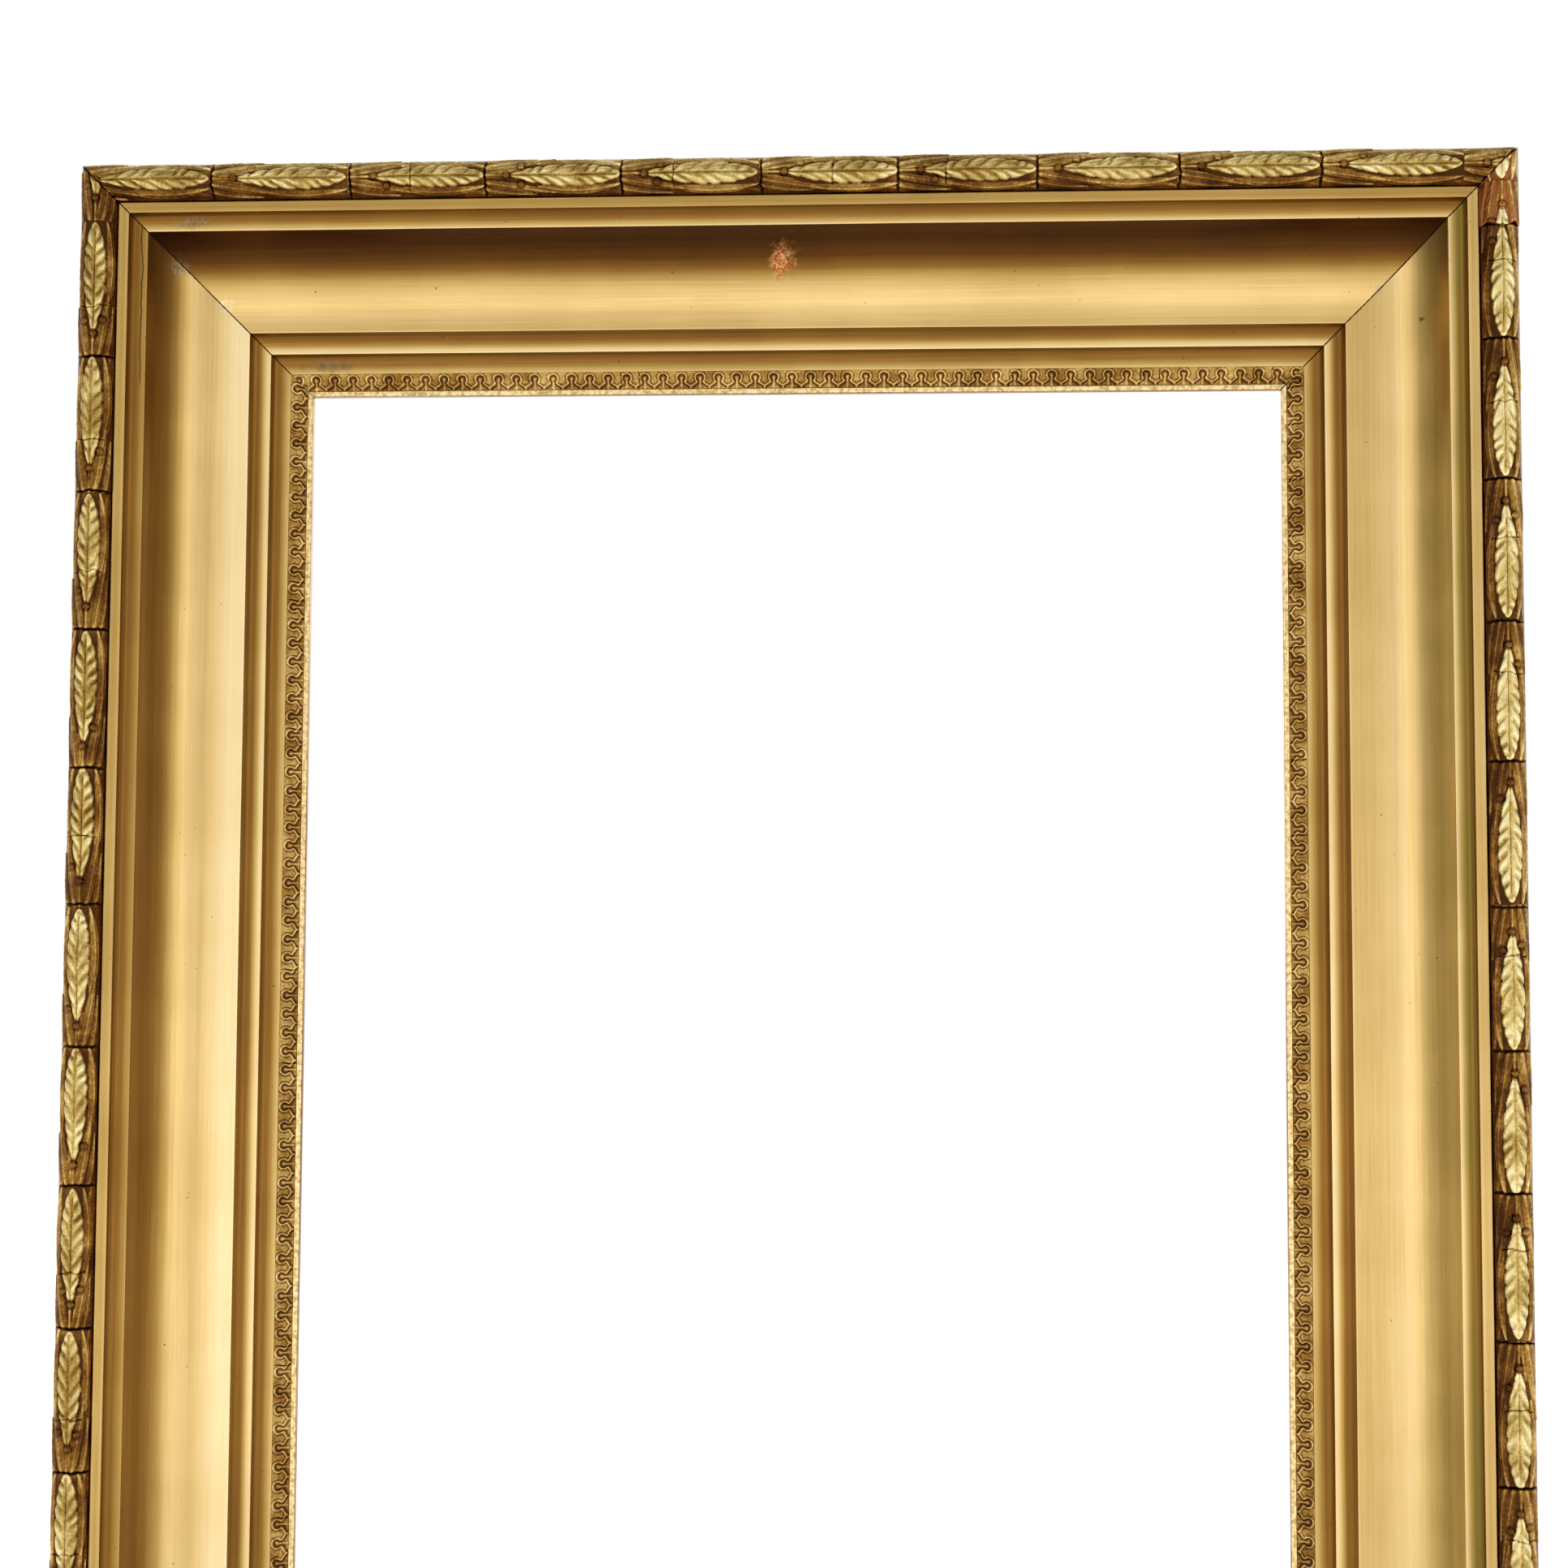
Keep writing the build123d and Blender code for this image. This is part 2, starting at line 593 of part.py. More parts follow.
for side in ("left", "right"):
    with BuildPart() as hanger_strap:
        with BuildSketch(hanger_plane(side)):
            Rectangle(STRAP_LENGTH, STRAP_THICKNESS, align=(Align.MIN, Align.MIN))
            with Locations((0, EYE_HEIGHT)):
                RegularPolygon(EYE_RADIUS + STRAP_THICKNESS, EYE_SIDES)
                RegularPolygon(EYE_RADIUS, EYE_SIDES, major_radius=False, mode=Mode.SUBTRACT)
        extrude(amount=STRAP_WIDTH / 2, both=True)
        tail = hanger_strap.edges().filter_by(Axis.Y).sort_by(Axis.X)
        chamfer(tail[:2] if side == "left" else tail[-2:], STRAP_CHAMFER)
        hole = SCREW_DIAMETER + 2 * PIVOT_CLEARANCE
        strap_back = BACK_PLANE.offset(-STRAP_THICKNESS)
        cut_holes(strap_back, [strap_screw_place(side)], hole, SCREW_SIDES, STRAP_THICKNESS)
    save(hanger_strap, f"hanger_strap_{side}")

    bar_middle = hanger_plane(side).from_local_coords((0, EYE_HEIGHT, 0))
    ring_plane = Plane(bar_middle, x_dir=INWARD[side], z_dir=REAR)
    with BuildPart() as hanger_ring:
        with BuildLine(ring_plane) as ring_path:
            Polyline((0, 0), *ring_bends(), close=True)
        with BuildSketch(Plane(bar_middle, x_dir=INWARD[side], z_dir=ring_plane.y_dir)):
            RegularPolygon(RING_WIRE / 2, RING_SIDES)
        sweep(path=ring_path.wires()[0], transition=Transition.RIGHT)
    save(hanger_ring, f"hanger_ring_{side}")

with BuildPart() as hanger_screws:
    for side in ("left", "right"):
        wood_screw(strap_screw_place(side), STRAP_THICKNESS)
save(hanger_screws, "hanger_screws")

# Turn buttons, parked hanging down beside the rabbet
for side in ("left", "right"):
    for place, level in zip(button_places(side), ("lower", "middle", "upper")):
        with BuildPart() as turn_button:
            with BuildSketch(BACK_PLANE.offset(-BUTTON_GAP - BUTTON_THICKNESS)):
                with Locations((place[0], place[1] - BUTTON_ARM / 2)):
                    Rectangle(BUTTON_WIDTH, BUTTON_ARM + BUTTON_WIDTH)
            extrude(amount=BUTTON_THICKNESS)
            chamfer(turn_button.edges().filter_by(Axis.Y), BUTTON_CHAMFER)
            hole = SCREW_DIAMETER + 2 * PIVOT_CLEARANCE
            cut_holes(BACK_PLANE.offset(-BUTTON_HEAD_AT), [place], hole, SCREW_SIDES, BUTTON_HEAD_AT)
        save(turn_button, f"turn_button_{side}_{level}")

with BuildPart() as turn_button_screws:
    for side in ("left", "right"):
        for place in button_places(side):
            wood_screw(place, BUTTON_HEAD_AT)
save(turn_button_screws, "turn_button_screws")
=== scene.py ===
import math
from functools import partial, reduce
import bmesh
import bpy
import numpy as np
from mathutils import Matrix, Vector
from numpy.lib.stride_tricks import sliding_window_view


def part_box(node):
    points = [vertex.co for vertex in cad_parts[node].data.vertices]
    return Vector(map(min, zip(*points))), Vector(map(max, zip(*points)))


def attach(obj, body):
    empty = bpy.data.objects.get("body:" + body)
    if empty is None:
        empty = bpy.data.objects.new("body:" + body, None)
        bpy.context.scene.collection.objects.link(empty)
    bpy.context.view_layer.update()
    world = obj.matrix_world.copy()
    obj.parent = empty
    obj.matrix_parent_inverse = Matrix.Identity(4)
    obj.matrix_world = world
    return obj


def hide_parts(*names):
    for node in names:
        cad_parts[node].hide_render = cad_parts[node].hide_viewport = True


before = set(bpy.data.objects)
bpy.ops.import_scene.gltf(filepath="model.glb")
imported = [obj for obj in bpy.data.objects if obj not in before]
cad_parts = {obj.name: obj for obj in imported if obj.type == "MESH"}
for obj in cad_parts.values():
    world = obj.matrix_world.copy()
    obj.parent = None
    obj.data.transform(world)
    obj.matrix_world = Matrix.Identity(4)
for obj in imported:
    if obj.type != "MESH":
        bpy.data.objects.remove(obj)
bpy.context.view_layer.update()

# Sizes here are in millimetres, and each mesh is scaled to metres when it is made
MM = 0.001


def cad_box(name):
    """Lowest and highest corner of a CAD node in millimetres."""
    low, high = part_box(name)
    return low / MM, high / MM


# Sizes read from the frame
outer_box = cad_box("outer_rail_top")
cove_box = cad_box("cove_rail_top")
sight_box = cad_box("sight_rail_top")
strip_box = cad_box("sight_ornament_top")
laurel_box = cad_box("laurel_top")
back_box = cad_box("back_rail_top")
stile_box = cad_box("back_stile_left")
WIDTH = outer_box[1].x - outer_box[0].x
HEIGHT = outer_box[1].z
BACK_Y = back_box[1].y
BACK_THICKNESS = back_box[1].y - back_box[0].y
BACK_WIDTH = stile_box[1].x - stile_box[0].x
COVE_AT = HEIGHT - cove_box[1].z
OUTER_STEP_AT = HEIGHT - sight_box[1].z
ORNAMENT_AT = HEIGHT - strip_box[1].z
LIP_AT = HEIGHT - strip_box[0].z
MOULDING_WIDTH = HEIGHT - sight_box[0].z
FILLET_LEVEL = BACK_Y - outer_box[0].y
COVE_LEVEL = BACK_Y - cove_box[0].y
OUTER_STEP_LEVEL = BACK_Y - sight_box[0].y
SEAT_LEVEL = BACK_Y - laurel_box[1].y
CREST_LEVEL = BACK_Y - laurel_box[0].y

# Sizes of the moulding that the boxes do not tell
TORUS_WIDTH = 19.4
SCOTIA_AT = 24.8
SCOTIA_FLAT = 3.4
COVE_SAG = 8.3
INNER_STEP_AT = 89.4
INNER_STEP_LEVEL = 25.5
OUTER_STEP_FLAT = 4.2
INNER_STEP_FLAT = 4.6
ORNAMENT_LEVEL = 21.3
LIP_LEVEL = 18.0
BED_DEPTH = 1.6
MITRE_GAP = 0.12

# Sides in the order that the garland runs: first corner, direction of the run, inward direction, length
SIDES = {
    "top": ((-WIDTH / 2, HEIGHT), (1, 0), (0, -1), WIDTH),
    "right": ((WIDTH / 2, HEIGHT), (0, -1), (-1, 0), HEIGHT),
    "bottom": ((WIDTH / 2, 0), (-1, 0), (0, 1), WIDTH),
    "left": ((-WIDTH / 2, 0), (0, 1), (1, 0), HEIGHT),
}


def side_length(side):
    """Length of a side along its outer edge."""
    return SIDES[side][3]


def side_number(side):
    """Place of a side in the order of the run."""
    return list(SIDES).index(side)


def place(side, along, across, level):
    """Points in metres from the distance along a side, across its moulding and above the back."""
    corner, run, inward, _ = SIDES[side]
    along, across, level = np.broadcast_arrays(along, across, level)
    x = corner[0] + run[0] * along + inward[0] * across
    z = corner[1] + run[1] * along + inward[1] * across
    return np.stack([x, BACK_Y - level, z], axis=-1).reshape(-1, 3) * MM


def between_mitres(side, across, rows):
    """Even distances along a side from mitre to mitre, at each distance across its moulding."""
    start = across + MITRE_GAP
    return start + (side_length(side) - 2 * start) * np.linspace(0, 1, rows)[:, None]


# Fields on grids
LATTICE = 257
TINY = 1e-6


def lattice_noise(x, y, seed):
    """Smooth noise from -1 to 1 with one wave for each unit of x and y."""
    lattice = np.random.RandomState(seed).uniform(-1, 1, (LATTICE, LATTICE))
    x, y = np.broadcast_arrays(np.asarray(x, float), np.asarray(y, float))
    x0, y0 = np.floor(x).astype(int), np.floor(y).astype(int)
    fx, fy = x - x0, y - y0
    fx, fy = fx * fx * (3 - 2 * fx), fy * fy * (3 - 2 * fy)
    x0, y0, x1, y1 = x0 % LATTICE, y0 % LATTICE, (x0 + 1) % LATTICE, (y0 + 1) % LATTICE
    near = lattice[x0, y0] * (1 - fx) + lattice[x1, y0] * fx
    far = lattice[x0, y1] * (1 - fx) + lattice[x1, y1] * fx
    return near * (1 - fy) + far * fy


def smoothstep(low, high, value):
    """0 at low, 1 at high and a smooth way between them; low may be the greater one."""
    t = np.clip((value - low) / (high - low), 0, 1)
    return t * t * (3 - 2 * t)


def bell(offset, width):
    """1 in the middle, falling to nothing a few widths away."""
    return np.exp(-((offset / width) ** 2))


def blend(a, b, share):
    """a where the share is 0, b where it is 1, and a mix between."""
    return a * (1 - share) + b * share


def blur(field, radius):
    """Mean of a grid over a square of cells, with the edges repeated."""
    square = (2 * radius + 1, 2 * radius + 1)
    return sliding_window_view(np.pad(field, radius, mode="edge"), square).mean(axis=(-2, -1))


# Mesh helpers
def grid_faces(rows, columns, round_columns=False, round_rows=False):
    """Quads of a grid numbered row by row, which may join its last column or row to the first."""
    row = np.arange(rows if round_rows else rows - 1)[:, None]
    column = np.arange(columns if round_columns else columns - 1)[None, :]
    here, ahead = row * columns, (row + 1) % rows * columns
    beside = (column + 1) % columns
    quads = [here + column, here + beside, ahead + beside, ahead + column]
    return np.stack(quads, axis=-1).reshape(-1, 4).tolist()


def capped_tube(rows, columns):
    """Faces of a grid whose rows are closed rings, with a cap on its first and its last ring."""
    first, last = range(columns), range((rows - 1) * columns, rows * columns)
    return grid_faces(rows, columns, round_columns=True) + [[*first][::-1], [*last]]


def skirted(top, rows, columns, axis, level):
    """Points and faces of a grid with a skirt from its rim to a foot at a level of one axis."""
    rim = np.concatenate([
        np.arange(columns),
        np.arange(1, rows) * columns + columns - 1,
        (rows - 1) * columns + np.arange(columns - 2, -1, -1),
        np.arange(rows - 2, 0, -1) * columns,
    ])
    below = top[rim].copy()
    below[:, axis] = level
    foot = len(top) + np.arange(len(rim))
    skirt = np.stack([np.roll(rim, -1), rim, foot, np.roll(foot, -1)], axis=1)
    faces = grid_faces(rows, columns) + skirt.tolist() + [foot.tolist()]
    return np.concatenate([top, below]), faces


def with_foot(fields, count):
    """Fields of a grid, each with the same value on a number of points below the grid."""
    return {key: np.append(top, np.full(count, foot)) for key, (top, foot) in fields.items()}


def joined(meshes):
    """Several meshes as one."""
    points, faces, fields = [], [], {}
    for part_points, part_faces, part_fields in meshes:
        first = sum(len(p) for p in points)
        points.append(part_points)
        faces += [[first + i for i in face] for face in part_faces]
        for key, values in part_fields.items():
            fields.setdefault(key, []).append(values)
    return np.concatenate(points), faces, {key: np.concatenate(values) for key, values in fields.items()}


def add_object(name, data):
    """A new object in the scene."""
    made = bpy.data.objects.new(name, data)
    bpy.context.scene.collection.objects.link(made)
    return made


def make_piece(name, points, faces, fields, material, slot, stands_for, sharp, body="frame"):
    """A mesh piece of the object that rides on a CAD body and stands for a CAD node."""
    mesh = bpy.data.meshes.new(name)
    mesh.from_pydata(points.tolist(), [], faces)
    shell = bmesh.new()
    shell.from_mesh(mesh)
    bmesh.ops.recalc_face_normals(shell, faces=shell.faces)
    shell.to_mesh(mesh)
    shell.free()
    for field, values in fields.items():
        attribute = mesh.attributes.new(field, "FLOAT", "POINT")
        attribute.data.foreach_set("value", np.ravel(values).astype(np.float32))
    mesh.shade_smooth()
    mesh.set_sharp_from_angle(angle=math.radians(sharp))
    mesh.materials.append(material)
    piece = add_object(name, mesh)
    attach(piece, body)
    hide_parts(stands_for)


# Material helpers
NOISE_RANGE = (0.3, 0.7)


def is_socket(value):
    """Whether a value comes from another node."""
    return isinstance(value, bpy.types.NodeSocket)


def link(value, socket):
    """Link a node's result to a socket of the same tree."""
    value.id_data.links.new(value, socket)


def node(kind, inputs, tree=None, **settings):
    """Add a shader node with its inputs set or linked; without a linked input it needs a tree."""
    tree = tree or next(value.id_data for value in inputs.values() if is_socket(value))
    made = tree.nodes.new(kind)
    for key, value in settings.items():
        setattr(made, key, value)
    for key, value in inputs.items():
        if is_socket(value):
            link(value, made.inputs[key])
        else:
            made.inputs[key].default_value = value
    return made


def math_node(operation, *values, clamp=False):
    """Result of a math node."""
    inputs = dict(enumerate(values))
    return node("ShaderNodeMath", inputs, operation=operation, use_clamp=clamp).outputs[0]


def fold(operation, *values):
    """Result of math nodes that take up values and sockets one after the other."""
    return reduce(partial(math_node, operation), values)


add, times, most = (partial(fold, operation) for operation in ("ADD", "MULTIPLY", "MAXIMUM"))


def vector_node(operation, *values):
    """Result of a vector math node."""
    made = node("ShaderNodeVectorMath", dict(enumerate(values)), operation=operation)
    return made.outputs["Value" if operation == "LENGTH" else "Vector"]


def mix_colour(factor, a, b, blend_type="MIX"):
    """Two colours blended by a factor; each may be a colour or a socket."""
    a, b = (value if is_socket(value) else (*value, 1) for value in (a, b))
    inputs = {0: factor, 6: a, 7: b}
    settings = {"data_type": "RGBA", "blend_type": blend_type, "clamp_factor": True}
    return node("ShaderNodeMix", inputs, **settings).outputs[2]


def field_value(tree, name):
    """Value that a mesh carries at each point."""
    return node("ShaderNodeAttribute", {}, tree, attribute_name=name).outputs["Fac"]


def ramp(value, low, high, out_low=0.0, out_high=1.0):
    """Value mapped smoothly from one range to another."""
    inputs = {0: value, 1: low, 2: high, 3: out_low, 4: out_high}
    return node("ShaderNodeMapRange", inputs, interpolation_type="SMOOTHSTEP").outputs[0]


def vary(value, out_low, out_high):
    """A noise's usual range mapped smoothly to another one."""
    return ramp(value, *NOISE_RANGE, out_low, out_high)


def noise(vector, scale, detail=3.0, roughness=0.55, distortion=0.0):
    """Noise from 0 to 1."""
    inputs = {"Vector": vector, "Scale": scale, "Detail": detail}
    inputs |= {"Roughness": roughness, "Distortion": distortion}
    return node("ShaderNodeTexNoise", inputs).outputs["Fac"]


def streaks(tree, length, width, detail):
    """Noise drawn out along a rail, with streaks of a length and a width in millimetres."""
    along = math_node("DIVIDE", field_value(tree, "along"), length)
    across = math_node("DIVIDE", field_value(tree, "across"), width)
    vector = node("ShaderNodeCombineXYZ", {0: along, 1: across}).outputs[0]
    return noise(vector, 1.0, detail)


def new_material(name):
    """Empty node material with its shader and object coordinates."""
    material = bpy.data.materials.new(name)
    material.use_nodes = True
    tree = material.node_tree
    coordinates = node("ShaderNodeTexCoord", {}, tree).outputs["Object"]
    return material, tree.nodes["Principled BSDF"], coordinates


def set_surface(shader, colour, roughness, metallic=0.0):
    """Link a shader's colour and roughness, and set its constant share of metal."""
    link(colour, shader.inputs["Base Color"])
    link(roughness, shader.inputs["Roughness"])
    shader.inputs["Metallic"].default_value = metallic


def bump(shader, height, distance, strength):
    """Relief of a height from 0 to 1, with a depth in millimetres."""
    inputs = {"Height": height, "Distance": distance * MM, "Strength": strength}
    link(node("ShaderNodeBump", inputs).outputs[0], shader.inputs["Normal"])


# Colours of the gilding, from the palest worn gold to the darkest brown, for toning and also for painted
# shade and painted highlights
GILT_TONES = {
    0.0: (0.98, 0.78, 0.42),
    0.2: (0.80, 0.56, 0.225),
    0.4: (0.50, 0.315, 0.085),
    0.6: (0.28, 0.134, 0.022),
    0.8: (0.135, 0.050, 0.008),
    1.0: (0.055, 0.019, 0.0035),
}
GRIME = (0.035, 0.02, 0.009)
VERDIGRIS = (0.20, 0.185, 0.035)
BOLE = (0.34, 0.10, 0.03)
PALE_GOLD = (0.90, 0.98, 0.97)
PINE = (0.56, 0.37, 0.19)
PINE_DARK = (0.36, 0.205, 0.09)
RAIL_METAL, CARVING_METAL, HARDWARE_METAL = 0.93, 0.92, 0.9
WORN_ARRIS = 0.07
# Paleness per unit of the leaf field, which also carries painted shade and painted light
PALE_LEAF = 0.13

# Old stains: x from the middle and drop from the top, radius, stretch in x and z, two colours, strength
ROUND = (1.0, 1.0)
STAINS = [
    ((-3.7, 47.5), 8.5, ROUND, ((0.46, 0.11, 0.025), (0.86, 0.50, 0.20)), 0.95),
    ((-313.5, 48.5), 6.5, ROUND, ((0.16, 0.12, 0.06), (0.40, 0.36, 0.24)), 0.5),
    ((-291.5, 65.5), 6.0, ROUND, ((0.66, 0.52, 0.26), (0.86, 0.75, 0.48)), 0.7),
    ((-303.0, 29.2), 11.0, (0.7, 2.8), ((0.13, 0.10, 0.06), (0.30, 0.25, 0.16)), 0.5),
    ((-240.4, 95.1), 11.0, (0.6, 2.8), ((0.11, 0.075, 0.04), (0.22, 0.16, 0.09)), 0.55),
    ((315.2, 80.6), 1.5, ROUND, ((0.05, 0.04, 0.015), (0.10, 0.075, 0.03)), 0.85),
    ((295.7, 62.8), 3.0, ROUND, ((0.40, 0.27, 0.12), (0.62, 0.46, 0.22)), 0.6),
]
# Radii up to which a stain is whole and at which it is gone, and how ragged it is between
STAIN_REACH = (1.2, 2.1)
STAIN_RAGGED = 2.2

# Crack in the left scotia: its x, how far it wanders, its ends below the top, its half width
CRACK_X = SCOTIA_AT + 3.0 - WIDTH / 2
CRACK_WANDER = 5.5
CRACK_START, CRACK_START_FADE = 32.0, 2.0
CRACK_END, CRACK_END_FADE = 114.0, 6.0
CRACK_CORE, CRACK_EDGE = 0.12, 0.32


def tone_colour(tone):
    """Colour of the gilding for a tone from 0, palest, to 1, darkest."""
    made = node("ShaderNodeValToRGB", {"Fac": tone})
    stops = made.color_ramp.elements
    while len(stops) < len(GILT_TONES):
        stops.new(1.0)
    for stop, (position, colour) in zip(stops, GILT_TONES.items()):
        stop.position = position
        stop.color = (*colour, 1)
    return made.outputs["Color"]


def stain(coordinates, colour, at, radius, stretch, tints, strength):
    """A colour with a ragged blotch of two others round a place on the front."""
    centre = (at[0] * MM, 0, (HEIGHT - at[1]) * MM)
    shift = vector_node("SUBTRACT", coordinates, centre)
    flat = vector_node("MULTIPLY", shift, (stretch[0], 0, stretch[1]))
    ragged = noise(coordinates, 170.0, detail=5.0, distortion=0.8)
    reach = add(vector_node("LENGTH", flat), times(ragged, STAIN_RAGGED * radius * MM))
    mask = ramp(reach, *[share * radius * MM for share in STAIN_REACH], strength, 0.0)
    mottle = noise(coordinates, 380.0, detail=3.0, distortion=1.5)
    return mix_colour(mask, colour, mix_colour(ramp(mottle, 0.42, 0.62), *tints))


def crack(coordinates):
    """Hairline crack down the scotia of the left side: 1 on the crack, 0 beside it."""
    axes = node("ShaderNodeSeparateXYZ", {0: coordinates}).outputs
    height = node("ShaderNodeCombineXYZ", {2: axes[2]}).outputs[0]
    wander = noise(height, 55.0, detail=4.0, roughness=0.65)
    beside = add(axes[0], -CRACK_X * MM, times(wander, -CRACK_WANDER * MM))
    near = ramp(math_node("ABSOLUTE", beside), CRACK_CORE * MM, CRACK_EDGE * MM, 1.0, 0.0)
    bottom, top = HEIGHT - CRACK_END, HEIGHT - CRACK_START
    below = ramp(axes[2], bottom * MM, (bottom + CRACK_END_FADE) * MM)
    above = ramp(axes[2], top * MM, (top + CRACK_START_FADE) * MM, 1.0, 0.0)
    return times(near, times(below, above))


def rail_tone_and_painted_shade(tree, coordinates, fine_streaks, clouds):
    """The mesh's tone with its painted shade and painted highlights, streaked, clouded, paler on worn
    arrises and mottled on the lip.
    """
    mottle = noise(coordinates, 420.0, detail=3.0)
    return add(
        field_value(tree, "tone"),
        ramp(streaks(tree, 150.0, 1.3, detail=4.0), 0.25, 0.75, -0.026, 0.026),
        vary(fine_streaks, -0.012, 0.014),
        vary(clouds, -0.024, 0.03),
        times(field_value(tree, "ridge"), -WORN_ARRIS),
        times(field_value(tree, "lip"), ramp(mottle, 0.35, 0.68, -0.14, 0.26)),
    )


def rail_dirt(tree, coordinates, grain):
    """Dirt of a plain moulding: in recesses, at open mitres, in the crack and in specks."""
    recess = add(field_value(tree, "cavity"), vary(grain, -0.15, 0.15))
    mitre = add(field_value(tree, "mitre"), vary(grain, -0.12, 0.12))
    specks = ramp(noise(coordinates, 420.0, detail=1.0), 0.785, 0.81, 0.0, 0.6)
    return most(
        ramp(recess, 0.35, 1.0, 0.0, 0.85),
        ramp(mitre, 0.2, 0.42, 1.0, 0.0),
        crack(coordinates),
        specks,
    )


def gilt_rail():
    """Gilding of the plain mouldings, with painted shade and highlights in its tone, damp green, old
    stains and dirt.
    """
    material, shader, coordinates = new_material("gilt_rail")
    tree = material.node_tree
    fine_streaks = streaks(tree, 45.0, 0.4, detail=2.0)
    clouds = noise(coordinates, 16.0, detail=4.0)
    grain = noise(coordinates, 900.0, detail=2.0)
    colour = tone_colour(rail_tone_and_painted_shade(tree, coordinates, fine_streaks, clouds))
    green = times(field_value(tree, "green"), vary(clouds, 0.22, 0.5))
    colour = mix_colour(green, colour, VERDIGRIS)
    for spot in STAINS:
        colour = stain(coordinates, colour, *spot)
    dirt = rail_dirt(tree, coordinates, grain)
    colour = mix_colour(dirt, colour, GRIME)
    sheen = ramp(fine_streaks, 0.2, 0.8, 0.27, 0.33)
    roughness = add(sheen, ramp(dirt, 0.3, 0.9, 0.0, 0.55))
    set_surface(shader, colour, roughness, RAIL_METAL)
    bump(shader, add(times(grain, 0.5), fine_streaks), 0.02, 0.3)
    return material


def gilt_carving(name, ground, lift, depth, tint=None):
    """Gilding on cast ornament, paler where it stands proud and brown in its recesses, with painted shade
    and light from its leaf field.
    """
    material, shader, coordinates = new_material(name)
    clouds = noise(coordinates, 70.0, detail=4.0)
    grain = noise(coordinates, 700.0, detail=3.0)
    tree = material.node_tree
    leaf = field_value(tree, "leaf")
    # The leaf field brings painted shade on the ground and painted light on the leaves
    tone = add(
        ground,
        times(field_value(tree, "ridge"), -lift),
        times(leaf, -PALE_LEAF),
        times(field_value(tree, "cavity"), depth),
        vary(clouds, -0.15, 0.15),
        vary(grain, -0.06, 0.07),
    )
    colour = mix_colour(leaf, tone_colour(tone), PALE_GOLD, "MULTIPLY")
    if tint:
        red = add(tone, vary(clouds, -0.1, 0.1))
        colour = mix_colour(ramp(red, 0.36, 0.75, 0.0, 0.6), colour, tint)
    set_surface(shader, colour, vary(grain, 0.22, 0.36), CARVING_METAL)
    bump(shader, grain, 0.05, 0.4)
    return material


def plain_wood(name, light, dark, grain_axis):
    """Old unpainted wood with growth rings, fibres and handling stains along one axis."""
    material, shader, coordinates = new_material(name)
    stretch = [0.07 if axis == grain_axis else 1.0 for axis in "XYZ"]
    mapped = node("ShaderNodeMapping", {"Vector": coordinates, "Scale": stretch}).outputs[0]
    growth = times(noise(mapped, 13.0, detail=2.0, distortion=0.3), 42.0)
    rings = math_node("PINGPONG", growth, 0.5)
    fibres = noise(mapped, 900.0, detail=3.0)
    handling = noise(coordinates, 11.0, detail=5.0)
    colour = mix_colour(ramp(rings, 0.22, 0.5), light, dark)
    colour = mix_colour(ramp(fibres, 0.48, 0.72, 0.0, 0.5), colour, dark)
    colour = mix_colour(ramp(handling, 0.5, 0.8, 0.0, 0.4), colour, GRIME)
    set_surface(shader, colour, ramp(fibres, 0.3, 0.8, 0.6, 0.85))
    bump(shader, add(times(rings, 0.6), times(fibres, -0.7)), 0.12, 0.5)
    return material


def aged_metal(name, light, dark, roughness):
    """Worn metal with darker tarnish in patches."""
    material, shader, coordinates = new_material(name)
    patches = noise(coordinates, 160.0, detail=5.0)
    scratches = noise(coordinates, 1400.0, detail=2.0)
    colour = mix_colour(ramp(patches, 0.35, 0.7), light, dark)
    set_surface(shader, colour, vary(patches, roughness, roughness + 0.25), HARDWARE_METAL)
    bump(shader, scratches, 0.04, 0.4)
    return material


rail_gilt = gilt_rail()
laurel_gilt = gilt_carving("gilt_laurel", 0.57, 0.32, 0.36)
repair_gilt = gilt_carving("gilt_repair", 0.42, 0.34, 0.44, BOLE)
strip_gilt = gilt_carving("gilt_strip", 0.54, 0.28, 0.42)
pine_upright = plain_wood("pine_upright", PINE, PINE_DARK, "Z")
pine_level = plain_wood("pine_level", PINE, PINE_DARK, "X")
oak = plain_wood("oak_peg", (0.25, 0.145, 0.065), (0.11, 0.055, 0.022), "Y")
brass = aged_metal("aged_brass", (0.56, 0.41, 0.17), (0.31, 0.205, 0.08), 0.34)
steel = aged_metal("screw_steel", (0.36, 0.35, 0.33), (0.12, 0.095, 0.07), 0.4)
iron = aged_metal("nail_iron", (0.12, 0.10, 0.085), (0.075, 0.04, 0.02), 0.6)

# Plain mouldings: spacing of points on a front and along a rail, wear of the arrises, slight waviness
FRONT_STEP = 0.2
TURN_LIMIT = math.radians(5)
CHORD_LIMIT = 2.5
HOLLOW_POINTS = 24
COVE_POINTS = 60
WEAR_PASSES = 5
BROAD_PASSES = 60
RUN_STEP = 6.0
WAVE_DEPTH = 0.07
WAVE_LENGTH, WAVE_WIDTH = 70, 14
WAVE_FADE = 12
RAIL_APART = 1000
RAIL_SHARP, CARVED_SHARP, HARDWARE_SHARP = 40, 60, 35


def arc(centre, radius, angles):
    """Points of a circular arc at angles in radians."""
    return [(centre[0] + radius * math.cos(t), centre[1] + radius * math.sin(t)) for t in angles]


def arc_between(start, end, centre, count):
    """Points of the short circular arc between two points round a centre."""
    first = math.atan2(start[1] - centre[1], start[0] - centre[0])
    last = math.atan2(end[1] - centre[1], end[0] - centre[0])
    turn = (last - first + math.pi) % (2 * math.pi) - math.pi
    return arc(centre, math.dist(start, centre), first + turn * np.linspace(0, 1, count))


